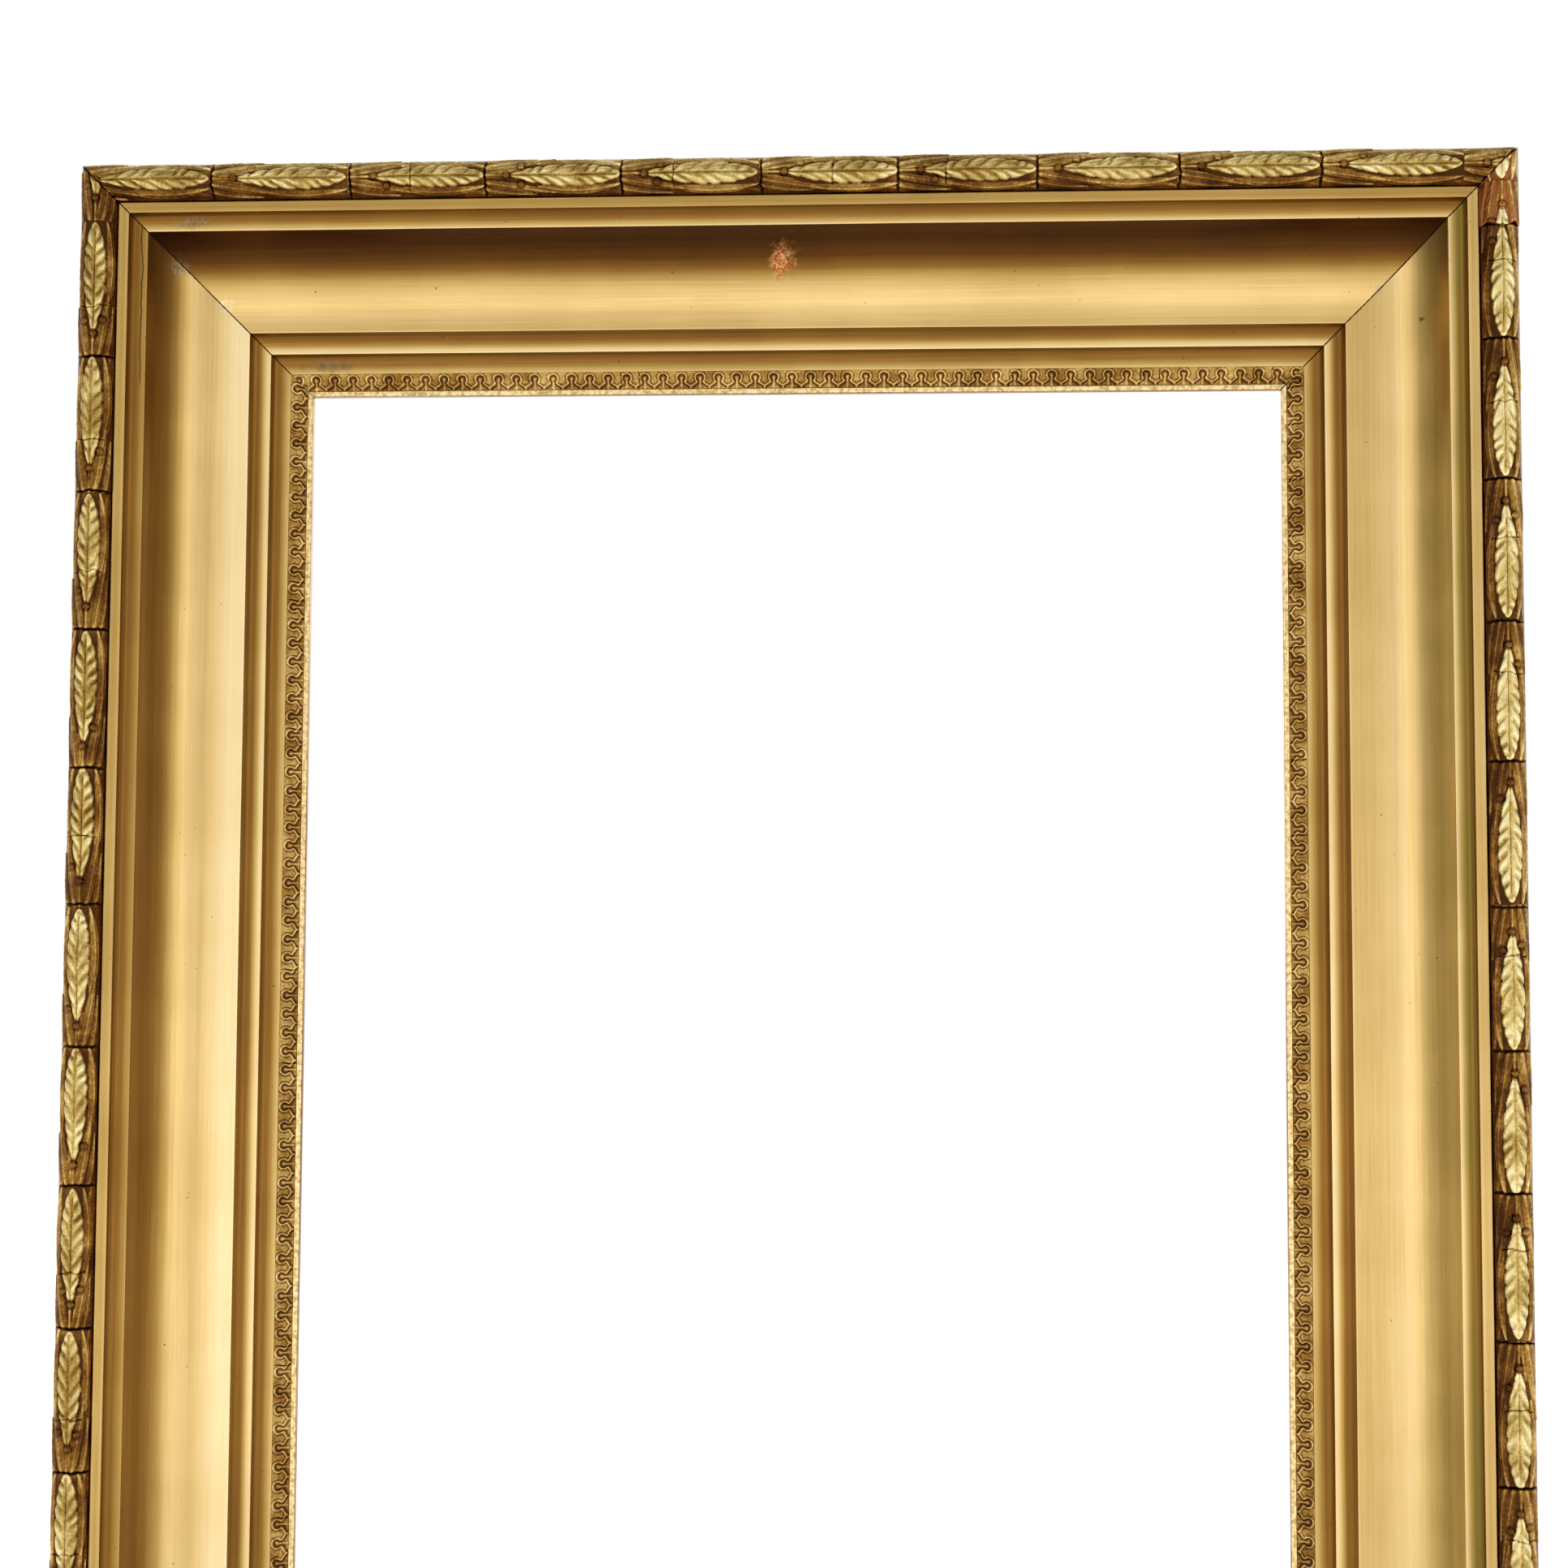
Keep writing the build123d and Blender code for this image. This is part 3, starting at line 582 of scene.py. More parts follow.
def hollow(start, end):
    """Small hollow that leaves its edge steeply and ends level."""
    width, drop = end[0] - start[0], start[1] - end[1]
    radius = (width**2 + drop**2) / (2 * drop)
    return arc_between(start, end, (end[0], end[1] + radius), HOLLOW_POINTS)


def cove_curve(start, end):
    """The large hollow, which lies a sagitta below its chord."""
    chord = math.dist(start, end)
    radius = COVE_SAG / 2 + chord**2 / (8 * COVE_SAG)
    middle = ((start[0] + end[0]) / 2, (start[1] + end[1]) / 2)
    normal = ((start[1] - end[1]) / chord, (end[0] - start[0]) / chord)
    reach = radius - COVE_SAG
    centre = (middle[0] + normal[0] * reach, middle[1] + normal[1] * reach)
    return arc_between(start, end, centre, COVE_POINTS)


# Fronts of the rails from their outer to their inner side: distance across the moulding and level
FRONTS = {
    "outer_rail": [
        (0, BACK_THICKNESS),
        (0, SEAT_LEVEL),
        (TORUS_WIDTH, SEAT_LEVEL),
        (TORUS_WIDTH, FILLET_LEVEL),
        *hollow((SCOTIA_AT, FILLET_LEVEL), (COVE_AT - SCOTIA_FLAT, COVE_LEVEL)),
        (COVE_AT, COVE_LEVEL),
        (COVE_AT, BACK_THICKNESS),
    ],
    "cove_rail": [
        (COVE_AT, BACK_THICKNESS),
        *cove_curve((COVE_AT, COVE_LEVEL), (OUTER_STEP_AT, OUTER_STEP_LEVEL)),
        (OUTER_STEP_AT, BACK_THICKNESS),
    ],
    "sight_rail": [
        (OUTER_STEP_AT, BACK_THICKNESS),
        *hollow((OUTER_STEP_AT, OUTER_STEP_LEVEL), (INNER_STEP_AT - OUTER_STEP_FLAT, INNER_STEP_LEVEL)),
        *hollow((INNER_STEP_AT, INNER_STEP_LEVEL), (ORNAMENT_AT - INNER_STEP_FLAT, ORNAMENT_LEVEL)),
        (ORNAMENT_AT, ORNAMENT_LEVEL),
        (ORNAMENT_AT, ORNAMENT_LEVEL - BED_DEPTH),
        (LIP_AT, LIP_LEVEL - BED_DEPTH),
        (LIP_AT, LIP_LEVEL),
        (MOULDING_WIDTH, LIP_LEVEL),
        (MOULDING_WIDTH, BACK_THICKNESS),
    ],
}


def smoothed(points, passes):
    """Points of a line, each pulled towards its neighbours a number of times."""
    for _ in range(passes):
        points = points.copy()
        points[1:-1] = (points[:-2] + 2 * points[1:-1] + points[2:]) / 4
    return points


def unit_normals(directions):
    """Unit vectors square to directions in a plane, on their left."""
    normals = np.stack([-directions[:, 1], directions[:, 0]], axis=1)
    return normals / np.linalg.norm(normals, axis=1, keepdims=True)


def softened(front):
    """Even points of a front with worn arrises, their normals and how proud they stand."""
    front = np.array(front)
    lengths = np.concatenate([[0], np.cumsum(np.hypot(*np.diff(front, axis=0).T))])
    keep = np.concatenate([[True], np.diff(lengths) > TINY])
    even = np.linspace(0, lengths[-1], int(lengths[-1] / FRONT_STEP))
    points = np.stack([np.interp(even, lengths[keep], front[keep, axis]) for axis in (0, 1)], axis=1)
    worn = smoothed(points, WEAR_PASSES)
    normals = unit_normals(np.gradient(worn, axis=0))
    proud = np.sum((worn - smoothed(worn, BROAD_PASSES)) * normals, axis=1)
    return worn, normals, proud


def thinned(points):
    """Numbers of the points that a front needs: more where it turns."""
    direction = np.gradient(points, axis=0)
    heading = np.unwrap(np.arctan2(direction[:, 1], direction[:, 0]))
    kept = [0]
    for i in range(1, len(points) - 1):
        turned = abs(heading[i] - heading[kept[-1]]) > TURN_LIMIT
        far = math.dist(points[i], points[kept[-1]]) > CHORD_LIMIT
        if turned or far:
            kept.append(i)
    return kept + [len(points) - 1]


def rail_piece(kind, side, tone_of, slot):
    """One mitred rail: its softened front swept along the side and closed."""
    points, normals, proud = softened(FRONTS[kind])
    kept = thinned(points)
    points, normals, proud = points[kept], normals[kept], proud[kept]
    length = side_length(side)
    rows = int(length / RUN_STEP)
    across, level = points[:, 0][None, :], points[:, 1][None, :]
    along = between_mitres(side, across, rows)
    from_start, from_end = along - along[0], along[-1] - along
    visible = (level > BACK_THICKNESS + 1) & (normals[:, 1] > 0.05)
    wave = lattice_noise(along / WAVE_LENGTH, across / WAVE_WIDTH, len(kind) + len(side))
    ends = smoothstep(0, WAVE_FADE, from_start) * smoothstep(0, WAVE_FADE, from_end)
    wave = WAVE_DEPTH * wave * visible * ends
    vertices = place(side, along, across + wave * normals[:, 0], level + wave * normals[:, 1])
    fields = {
        "along": along - length / 2 + RAIL_APART * side_number(side),
        "across": across,
        # The tone holds painted shade and painted highlights across the profile
        "tone": tone_of(side, across),
        "ridge": smoothstep(0.06, 0.3, proud),
        "cavity": smoothstep(0.08, 0.5, -proud),
        "mitre": np.minimum(from_start, from_end),
        "green": green_share(side, across),
        "lip": smoothstep(LIP_AT - 0.2, LIP_AT + 0.2, across) * (level > LIP_LEVEL - 0.4),
    }
    fields = {key: np.broadcast_to(values, along.shape) for key, values in fields.items()}
    name = f"{kind}_{side}"
    faces = capped_tube(rows, len(points))
    make_piece(f"{name}_gilded", vertices, faces, fields, rail_gilt, slot, name, RAIL_SHARP)


# Tones across the mouldings, with painted shade in steep and hidden parts and painted highlights, many
# differing by side: fillet and scotia of each side, cove at shares of its width, hollows and lip
OUTER_SIDE_TONE = 0.52
# Painted shade on the garland's seat, seen in the joints between castings
SEAT_PAINTED_SHADE = 0.95
TONE_MARGIN = 0.3
# Fillet tones and the light end of each scotia are painted shade, lighter or darker by side as light
# falls
FILLET_SCOTIA_PAINTED_SHADE = {"top": (0.44, 0.24), "right": (0.33, 0.18), "bottom": (0.40, 0.24), "left": (0.40, 0.48)}
SCOTIA_PAINTED_SHADE = 0.65
COVE_SHARES = (0.0, 0.14, 0.26, 0.36, 0.46, 0.58, 0.72, 0.86, 1.0)
# Painted shade under the cove's outer edge and painted highlight bands, different on each side
COVE_PAINTED_SHADE_AND_HIGHLIGHT = {
    "top": (0.95, 0.91, 0.80, 0.60, 0.36, 0.26, 0.22, 0.24, 0.29),
    "right": (0.47, 0.40, 0.34, 0.23, 0.15, 0.21, 0.28, 0.30, 0.29),
    "bottom": (0.75, 0.72, 0.62, 0.44, 0.30, 0.22, 0.17, 0.18, 0.22),
    "left": (0.68, 0.65, 0.49, 0.24, 0.19, 0.27, 0.14, 0.04, 0.05),
}
# Painted shade in the steep part of each small hollow, gold towards its inner edge
OUTER_STEP_PAINTED_SHADE = (0.66, 0.16)
INNER_STEP_PAINTED_SHADE = (0.64, 0.34)
LIP_TONE = 0.17
LIP_EDGE_DARKER = 0.5
DAMP_SIDE = "right"
DAMP_COVE = 0.55


def green_share(side, across):
    """How green the gilding of the damp side is: most in the scotia, less in the outer cove."""
    scotia = smoothstep(SCOTIA_AT, SCOTIA_AT + 1.5, across) * smoothstep(COVE_AT, COVE_AT - 2.5, across)
    cove = smoothstep(COVE_AT, COVE_AT + 2, across) * smoothstep(COVE_AT + 18, COVE_AT + 7, across)
    return (side == DAMP_SIDE) * (scotia + DAMP_COVE * cove)


def hollow_painted_shade(share, dark, light):
    """Tone across a small hollow: painted shade in its steep part, gold towards its inner edge."""
    return dark + (light - dark) * smoothstep(0.36, 0.86, share)


def outer_tone_and_painted_shade(side, across):
    """Tone of the outer side, the seat of the garland in painted shade, and the fillet and scotia with
    painted shade.
    """
    share = (across - SCOTIA_AT) / (COVE_AT - SCOTIA_AT)
    fillet, scotia = FILLET_SCOTIA_PAINTED_SHADE[side]
    front = np.where(share < 0.0, fillet, hollow_painted_shade(share, SCOTIA_PAINTED_SHADE, scotia))
    front = np.where(across < TORUS_WIDTH - TONE_MARGIN, SEAT_PAINTED_SHADE, front)
    return np.where(across < TONE_MARGIN, OUTER_SIDE_TONE, front)


def cove_painted_shade(side, across):
    """Tone of the cove with painted shade and highlights: darkest under its outer edge, palest towards
    the sight.
    """
    share = (across - COVE_AT) / (OUTER_STEP_AT - COVE_AT)
    return np.interp(share, COVE_SHARES, COVE_PAINTED_SHADE_AND_HIGHLIGHT[side])


def sight_tone_and_painted_shade(side, across):
    """Tone of the two small hollows, with painted shade in their steep parts, and of the lip, alike on
    all sides.
    """
    outer = hollow_painted_shade((across - OUTER_STEP_AT) / (INNER_STEP_AT - OUTER_STEP_AT), *OUTER_STEP_PAINTED_SHADE)
    inner = hollow_painted_shade((across - INNER_STEP_AT) / (ORNAMENT_AT - INNER_STEP_AT), *INNER_STEP_PAINTED_SHADE)
    edge = smoothstep(MOULDING_WIDTH - 0.25, MOULDING_WIDTH - 0.05, across)
    front = np.where(across < ORNAMENT_AT, inner, LIP_TONE + LIP_EDGE_DARKER * edge)
    return np.where(across < INNER_STEP_AT - 0.1, outer, front)


RAILS = {
    "outer_rail": (outer_tone_and_painted_shade, "gilt_moulding"),
    "cove_rail": (cove_painted_shade, "gilt_cove"),
    "sight_rail": (sight_tone_and_painted_shade, "gilt_moulding"),
}
for side in SIDES:
    for kind, (tone_of, slot) in RAILS.items():
        rail_piece(kind, side, tone_of, slot)

# Laurel garland: s runs from a casting's base joint, and w round its crown from the crest, inwards
LEAF_PITCH = 69.0
LEAF_JOINT = 0.6
FIRST_JOINT = {"top": 0.0, "right": 27.5, "bottom": 20.0, "left": 44.5}
JOINT_SWAY = 1.6
LAST_UNIT = 2.2 * TORUS_WIDTH
SHORTEST_UNIT = 3
LAUREL_HALF = 9.4
LAUREL_EDGE = 1.5
LAUREL_CROWN = 8.1
CROWN_ARC = LAUREL_CROWN - LAUREL_EDGE
CROWN_RADIUS = (LAUREL_HALF**2 + CROWN_ARC**2) / (2 * CROWN_ARC)
HALF_ARC = CROWN_RADIUS * math.asin(LAUREL_HALF / CROWN_RADIUS)
CASTING_STEP = 0.42
CASTING_COLUMNS = 64
FLAT_EDGE = 3
CREST_ROOM = 0.6
SIDE_ROOM = 0.05

# The main leaf, the stem below it, the berries and the break at a joint
LEAF_START = 12.0
LEAF_LENGTH = 56.3
LEAF_HALF = 6.3
LEAF_RISE = 1.25
LEAF_BEND = 0.7
LOBE_PITCH = 7.2
LOBE_SLANT = 1.05
STEM_RISE, STEM_WIDTH = 0.8, 0.8
BERRY_RADIUS = 1.8
BERRY_SHARE = -1.2
BREAK_WIDTH, BREAK_DROP = 0.42, 0.4
RAGGED_JOINT = 0.5
UNIT_CRACK_DEPTH, UNIT_CRACK_WIDTH, UNIT_CRACK_REACH = 0.6, 0.25, 7

# Lower leaves on one hand of the crest: three points of the midrib, half width, height and leaf share
LOWER_LEAVES = (
    ([(26, 6.2), (46, 8.4), (70, 5.0)], 3.0, 0.55, 0.15),
    ([(-4, 6.0), (8, 8.6), (26, 9.8)], 2.2, 0.5, -0.7),
    ([(-3, 2.6), (12, 5.0), (36, 8.4)], 2.5, 0.7, -0.45),
)
# Stalks on one hand, from the joint outwards: three points and height
STALKS = (
    ([(-1, 0.9), (8, 1.7), (18, 3.4)], 0.75),
    ([(52, 6.0), (61, 7.6), (70, 9.8)], 0.5),
)
GROUND_SHARE = -0.35
LOWER_SWAY = 0.8
LOWER_VARY = (0.75, 1.2)
STALK_VARY = (0.55, 1.25)
STALK_STEEP, STALK_SLOW = 0.42, 1.7
LOWER_LIFT = 0.1
VEIN_DEPTH, VEIN_PITCH, VEIN_SLANT = 0.07, 4.6, 1.8
RIB_RISE, RIB_WIDTH = 0.34, 0.32

# Painted shade and light of each side: how much darker the ground is painted on its outer and its inner
# half, and how much paler the leaf is painted
CASTING_PAINTED_SHADE = {
    "top": (-0.9, 1.1, 0.0),
    "right": (0.0, 2.0, 1.0),
    "bottom": (0.0, 0.8, 0.0),
    "left": (0.4, 1.0, 0.0),
}

# The repair casting at the start of the right side
PATCH_LENGTH = 40.0
PATCH_LEAF_TIP = 18.0
PATCH_LIFT = 0.6
PATCH_BREAK = 1.6
PATCH_SEED = 907


def along_path(s, path):
    """Share of the way along a curve through three points, and its distance from the crest there."""
    x, y = np.array(path).T
    return np.clip((s - x[0]) / (x[-1] - x[0]), 0, 1), np.polyval(np.polyfit(x, y, 2), s)


def stalk(s, w, path, rise):
    """Stroke along a curve: steep towards the crest, falling slowly outwards."""
    t, middle = along_path(s, path)
    d = w - middle
    return rise * np.sin(np.pi * t) ** 0.5 * bell(d, np.where(d < 0, STALK_STEEP, STALK_SLOW))


def lower_leaf(s, w, path, half, rise):
    """A leaf that lies under the main one: its domed and veined height, and where it is."""
    t, middle = along_path(s, path)
    d = w - middle
    q = np.abs(d) / (half * np.sin(np.pi * t**0.8) ** 0.75 + TINY)
    inside = smoothstep(1.0, 0.85, q)
    veins = VEIN_DEPTH * np.sin(2 * np.pi * (s - VEIN_SLANT * np.abs(d)) / VEIN_PITCH)
    veins = veins * smoothstep(0.1, 0.4, q) * smoothstep(0.9, 0.5, q)
    midrib = RIB_RISE * bell(d, RIB_WIDTH)
    return rise * np.clip(1 - q**2, 0, 1) ** 0.35 + (midrib + veins) * inside, inside


def main_leaf(s, w, bend, seed):
    """The leaf along the crest: rounded lobes beside a midrib, widest past its middle."""
    x = s - LEAF_START
    t = np.clip(x / LEAF_LENGTH, 0, 1)
    w = w - bend * np.sin(np.pi * t)
    hand = np.where(w < 0, 0.0, 40.0)
    uneven = lattice_noise(x / 9, hand, seed)
    turn = ((x - LOBE_SLANT * np.abs(w)) / LOBE_PITCH + 0.3 * uneven + hand / 90) % 1
    lobe = (4 * turn * (1 - turn)) ** 0.8
    swell = np.sin(np.pi * t**1.2)
    q = np.abs(w) / (LEAF_HALF * swell**0.55 * (0.82 + 0.18 * lobe) + TINY)
    body = np.sqrt(np.clip(1 - q**3, 0, 1))
    flank = smoothstep(0.04, 0.45, q) * smoothstep(1.0, 0.75, q)
    flank = flank * smoothstep(0.04, 0.2, t) * smoothstep(1.0, 0.88, t)
    lobes = (1.0 + 0.5 * uneven) * (lobe - 0.55) * flank
    midrib = -0.5 * bell(w, 0.36) * smoothstep(1.0, 0.9, t)
    return body * (LEAF_RISE * (0.6 + 0.4 * swell) + lobes + midrib)


def lower_relief(s, w, relief, random):
    """The ground with the leaves and stalks of both hands laid on it: height and leaf share."""
    share = np.full(relief.shape, GROUND_SHARE)
    for hand in (-1, 1):
        for path, half, rise, leaf_share in LOWER_LEAVES:
            shift, height = random.uniform(-LOWER_SWAY, LOWER_SWAY), rise * random.uniform(*LOWER_VARY)
            path = [(at, across + shift) for at, across in path]
            raised, inside = lower_leaf(s, w * hand, path, half, height)
            relief = blend(relief, LOWER_LIFT + raised, inside)
            share = blend(share, leaf_share, inside)
        for path, rise in STALKS:
            shift, height = random.uniform(-LOWER_SWAY, LOWER_SWAY), rise * random.uniform(*STALK_VARY)
            path = [(at, across + shift * (at > 0)) for at, across in path]
            relief = np.maximum(relief, stalk(s, w * hand, path, height))
    return relief, share


def berry_places(sway):
    """Two or three berries at the foot of the main leaf."""
    hand = 1 if sway[4] > 0 else -1
    places = [(11.2 + 2 * sway[5], 0.8 * sway[6]), (19.5 + 3 * sway[7], 4.7 * hand)]
    if sway[6] > 0.1:
        places.append((18.0, -4.3 * hand))
    return places


def with_berry(s, w, relief, share, at, across):
    """A casting with one more berry in a small moat: height and leaf share."""
    reach = np.sqrt((s - at) ** 2 + (w - across) ** 2)
    relief = relief - 0.25 * bell(reach - BERRY_RADIUS - 0.3, 0.4)
    cap = 0.4 + 0.7 * np.sqrt(np.clip(BERRY_RADIUS**2 - reach**2, 0, None))
    on_berry = smoothstep(BERRY_RADIUS + 0.1, BERRY_RADIUS - 0.2, reach)
    return blend(relief, np.maximum(relief, cap), on_berry), blend(share, BERRY_SHARE, on_berry)


def casting_relief(s, w, seed):
    """Carved detail over the rounded ground of one casting: height and leaf share."""
    random = np.random.RandomState(seed)
    sway = random.uniform(-0.5, 0.5, 8)
    flow = lattice_noise(s / 24, w / 1.8 + 5 * sway[0], seed) * 0.1
    pits = lattice_noise(s / 1.3, w / 1.1, seed + 1) * 0.06
    ground = flow + pits - 0.3 * smoothstep(56, 66, s)
    relief, share = lower_relief(s, w, ground, random)
    relief = np.maximum(relief, STEM_RISE * bell(w, STEM_WIDTH) * smoothstep(16, 10, s))
    leaf = main_leaf(s, w, LEAF_BEND * sway[2], seed + 5)
    share = blend(share, 1, smoothstep(0.0, 0.35, leaf - relief))
    relief = np.maximum(relief, leaf)
    for at, across in berry_places(sway):
        relief, share = with_berry(s, w, relief, share, at, across)
    if sway[5] > -0.1:
        crack_at = 30 + 14 * sway[0] + 0.8 * lattice_noise(w / 3.0, seed, seed)
        cracked = bell(s - crack_at, UNIT_CRACK_WIDTH) * (np.abs(w) < UNIT_CRACK_REACH)
        relief = relief - UNIT_CRACK_DEPTH * cracked
    return np.stack([relief, share])


def casting_fields(side, w, relief, lift, share, broken, foot_count):
    """Where a casting is proud, deep or leaf, with the side's painted shade and light, for its gilding;
    its foot comes last.
    """
    matt = smoothstep(0.8, 1.1, -share)
    outer_painted_shade, inner_painted_shade, painted_leaf_light = CASTING_PAINTED_SHADE[side]
    painted_shade = outer_painted_shade + (inner_painted_shade - outer_painted_shade) * smoothstep(-3, 3, w)
    share = share - painted_shade * (1 - np.clip(share, 0, 1))
    fine, broad = blur(relief, 4), blur(relief, 12)
    ridge = smoothstep(0.0, 0.4, relief - fine) * (1 - 0.7 * matt)
    recess = 0.5 * smoothstep(0.05, 0.5, fine - relief) + 0.5 * smoothstep(0.1, 0.8, broad - relief)
    low_ground = 1 - smoothstep(-0.1, 0.6, relief - lift)
    # Dark toning in the recesses, deepened where the ground carries painted shade
    cavity = np.clip((1 - 0.3 * share) * recess + 0.25 * low_ground + 0.7 * broken, 0, 1)
    # The leaf field carries the painted shade of the ground and the painted light on the leaves
    leaf = share + painted_leaf_light * np.clip(share, 0, 1)
    fields = {"ridge": (ridge, 0.0), "cavity": (cavity, 0.6), "leaf": (leaf, 0.0)}
    return with_foot(fields, foot_count)


def casting_mesh(side, joint, start, end, seed, lift=0.0, break_depth=RAGGED_JOINT):
    """One casting between two distances along a side, cut back at the mitres."""
    w = np.linspace(-HALF_ARC, HALF_ARC, CASTING_COLUMNS)[None, :]
    angle = w / CROWN_RADIUS
    across = TORUS_WIDTH / 2 + CROWN_RADIUS * np.sin(angle)
    ragged = [lattice_noise(w / 3.2, 0.5, seed + more) for more in (7, 8)]
    low = np.maximum(start + LEAF_JOINT / 2 + RAGGED_JOINT * ragged[0], across + MITRE_GAP)
    mitre = side_length(side) - across - MITRE_GAP
    high = np.minimum(end - LEAF_JOINT / 2 + break_depth * ragged[1], mitre)
    rows = max(8, int((end - start) / CASTING_STEP))
    along = low + (high - low) * np.linspace(0, 1, rows)[:, None]
    s, w_grid = along - joint, np.broadcast_to(w, along.shape)
    here, beyond = casting_relief(s, w_grid, seed), casting_relief(s - LEAF_PITCH, w_grid, seed + 3)
    relief, share = np.where(s > LEAF_PITCH, beyond, here)
    broken = bell(along - low, BREAK_WIDTH) + bell(high - along, BREAK_WIDTH)
    relief = lift + (relief - BREAK_DROP * broken) * smoothstep(0, FLAT_EDGE, HALF_ARC - np.abs(w))
    radius = CROWN_RADIUS + relief
    level = SEAT_LEVEL + LAUREL_CROWN - CROWN_RADIUS + radius * np.cos(angle)
    across = np.clip(TORUS_WIDTH / 2 + radius * np.sin(angle), SIDE_ROOM, TORUS_WIDTH - SIDE_ROOM)
    top = place(side, along, across, np.minimum(level, CREST_LEVEL + CREST_ROOM))
    points, faces = skirted(top, rows, CASTING_COLUMNS, 1, (BACK_Y - SEAT_LEVEL) * MM)
    fields = casting_fields(side, w, relief, lift, share, broken, len(points) - len(top))
    return points, faces, fields


def joints(side):
    """Distances along a side at which its castings meet, a little irregular."""
    length = side_length(side)
    places = np.arange(FIRST_JOINT[side] - LEAF_PITCH, length, LEAF_PITCH)
    sway = [JOINT_SWAY * float(lattice_noise(x / LEAF_PITCH * 1.7, 0.3, 11)) for x in places]
    return [x + shift for x, shift in zip(places, sway) if x < length - LAST_UNIT]


def garland_pieces(side):
    """All castings of a side, as two lengths."""
    places = joints(side)
    ends = [*places[1:], side_length(side) + LEAF_JOINT]
    castings = []
    for i, (joint, end) in enumerate(zip(places, ends)):
        start = joint if joint > 0.5 else -LEAF_JOINT
        if side == "right":
            start = max(start, PATCH_LENGTH)
        if end - start > SHORTEST_UNIT and end > TORUS_WIDTH:
            castings.append(casting_mesh(side, joint, start, end, 100 * side_number(side) + i))
    half = (len(castings) + 1) // 2
    name = f"laurel_{side}"
    for part, meshes in (("first", castings[:half]), ("second", castings[half:])):
        make_piece(f"{name}_{part}", *joined(meshes), laurel_gilt, "gilt_laurel", name, CARVED_SHARP)


for side in SIDES:
    garland_pieces(side)

patch_joint = PATCH_LEAF_TIP - LEAF_START - LEAF_LENGTH
patch = casting_mesh("right", patch_joint, -LEAF_JOINT, PATCH_LENGTH, PATCH_SEED, PATCH_LIFT, PATCH_BREAK)
make_piece("laurel_patch_cast", *patch, repair_gilt, "gilt_repair", "laurel_patch", CARVED_SHARP)

# Lamb's-tongue strip: x runs along it from the middle, and y down its slope
TONGUE_PITCH = 9.5
TONGUE_CENTRE = 3.2
TONGUE_RADIUS = 2.5
TONGUE_SWAY = 0.35
NECK_AT = 5.6
NECK_HALF = 1.7
MOUTH_AT = 8.0
CURVE_END, CURVE_POINTS = 8.1, 90
STRIP_STEP = 0.28
STRIP_COLUMNS = 32
STRIP_THICKNESS = 2.2
CARVING_ROOM = 0.35
LINE_RISE, LINE_WIDTH = 0.5, 0.36
SPLIT_DEPTH, SPLIT_WIDTH = 0.6, 0.16
SPLIT_FROM = 0.45
STRIP_SEED = 40


def keyhole_half(y):
    """Half width of the arched recess down the slope: a round head, a neck and a wide mouth."""
    head = np.sqrt(np.clip(TONGUE_RADIUS**2 - (y - TONGUE_CENTRE) ** 2, 0, None))
    flare = NECK_HALF + (TONGUE_PITCH / 2 - NECK_HALF) * smoothstep(NECK_AT - 0.4, MOUTH_AT, y)
    lower = np.where(y < NECK_AT, np.maximum(head, NECK_HALF), flare)
    return np.where(y < TONGUE_CENTRE + 0.9, head, lower)


def strip_relief(x, y, seed):
    """Height of the carved line, the recesses inside it and the tongues between."""
    repeat = np.floor(x / TONGUE_PITCH + 0.5)
    x = x - repeat * TONGUE_PITCH - TONGUE_SWAY * lattice_noise(repeat * 0.73, 0.2, seed)
    top = TONGUE_CENTRE - TONGUE_RADIUS
    curve_y = np.linspace(top, CURVE_END, CURVE_POINTS)
    near = np.full(x.shape, TONGUE_PITCH)
    for cx, cy in zip(keyhole_half(curve_y), curve_y):
        near = np.minimum(near, np.hypot(np.abs(x) - cx, y - cy))
    line = LINE_RISE * bell(near, LINE_WIDTH) - 0.12 * bell(near - 0.85, 0.3)
    recess = -0.5 * smoothstep(0.2, 1.0, near) + 0.34 * bell(x, 0.55) * smoothstep(2.2, 3.4, y)
    tongue = 0.2 * smoothstep(0.3, 1.6, near) + 0.07 * np.sin(x * 9.0) * smoothstep(0.8, 1.6, near)
    inside = (np.abs(x) < keyhole_half(y)) & (y > top)
    return line + np.where(inside, recess, tongue)


def worn_strip_relief(along, length, y, seed):
    """The strip's carving with fine pits, and with hairline splits across some tongues."""
    pits = 0.06 * lattice_noise(along / 0.9, y / 0.9, seed + 5)
    chance = lattice_noise(np.floor(along / TONGUE_PITCH), 0.5, seed + 9)
    beside = (along / TONGUE_PITCH) % 1 - 0.5 - 0.05 * lattice_noise(y / 2, chance, seed)
    split = SPLIT_DEPTH * bell(beside * TONGUE_PITCH, SPLIT_WIDTH) * (chance > SPLIT_FROM)
    return strip_relief(along - length / 2, y, seed) + pits - split


def strip_faces(rows, columns):
    """Faces of a strip: carved grid, underside of two rows of points, ends and long edges."""
    count, last = rows * columns, (rows - 1) * columns
    under, under_last = count, count + columns
    faces = grid_faces(rows, columns)
    faces += [[under + i for i in reversed(face)] for face in grid_faces(2, columns)]
    for i in range(columns - 1):
        faces.append([i + 1, i, under + i, under + i + 1])
        faces.append([last + i, last + i + 1, under_last + i + 1, under_last + i])
    faces.append([*range(0, count, columns), under_last, under])
    faces.append([*range(count - 1, 0, -columns), under_last - 1, under_last + columns - 1])
    return faces


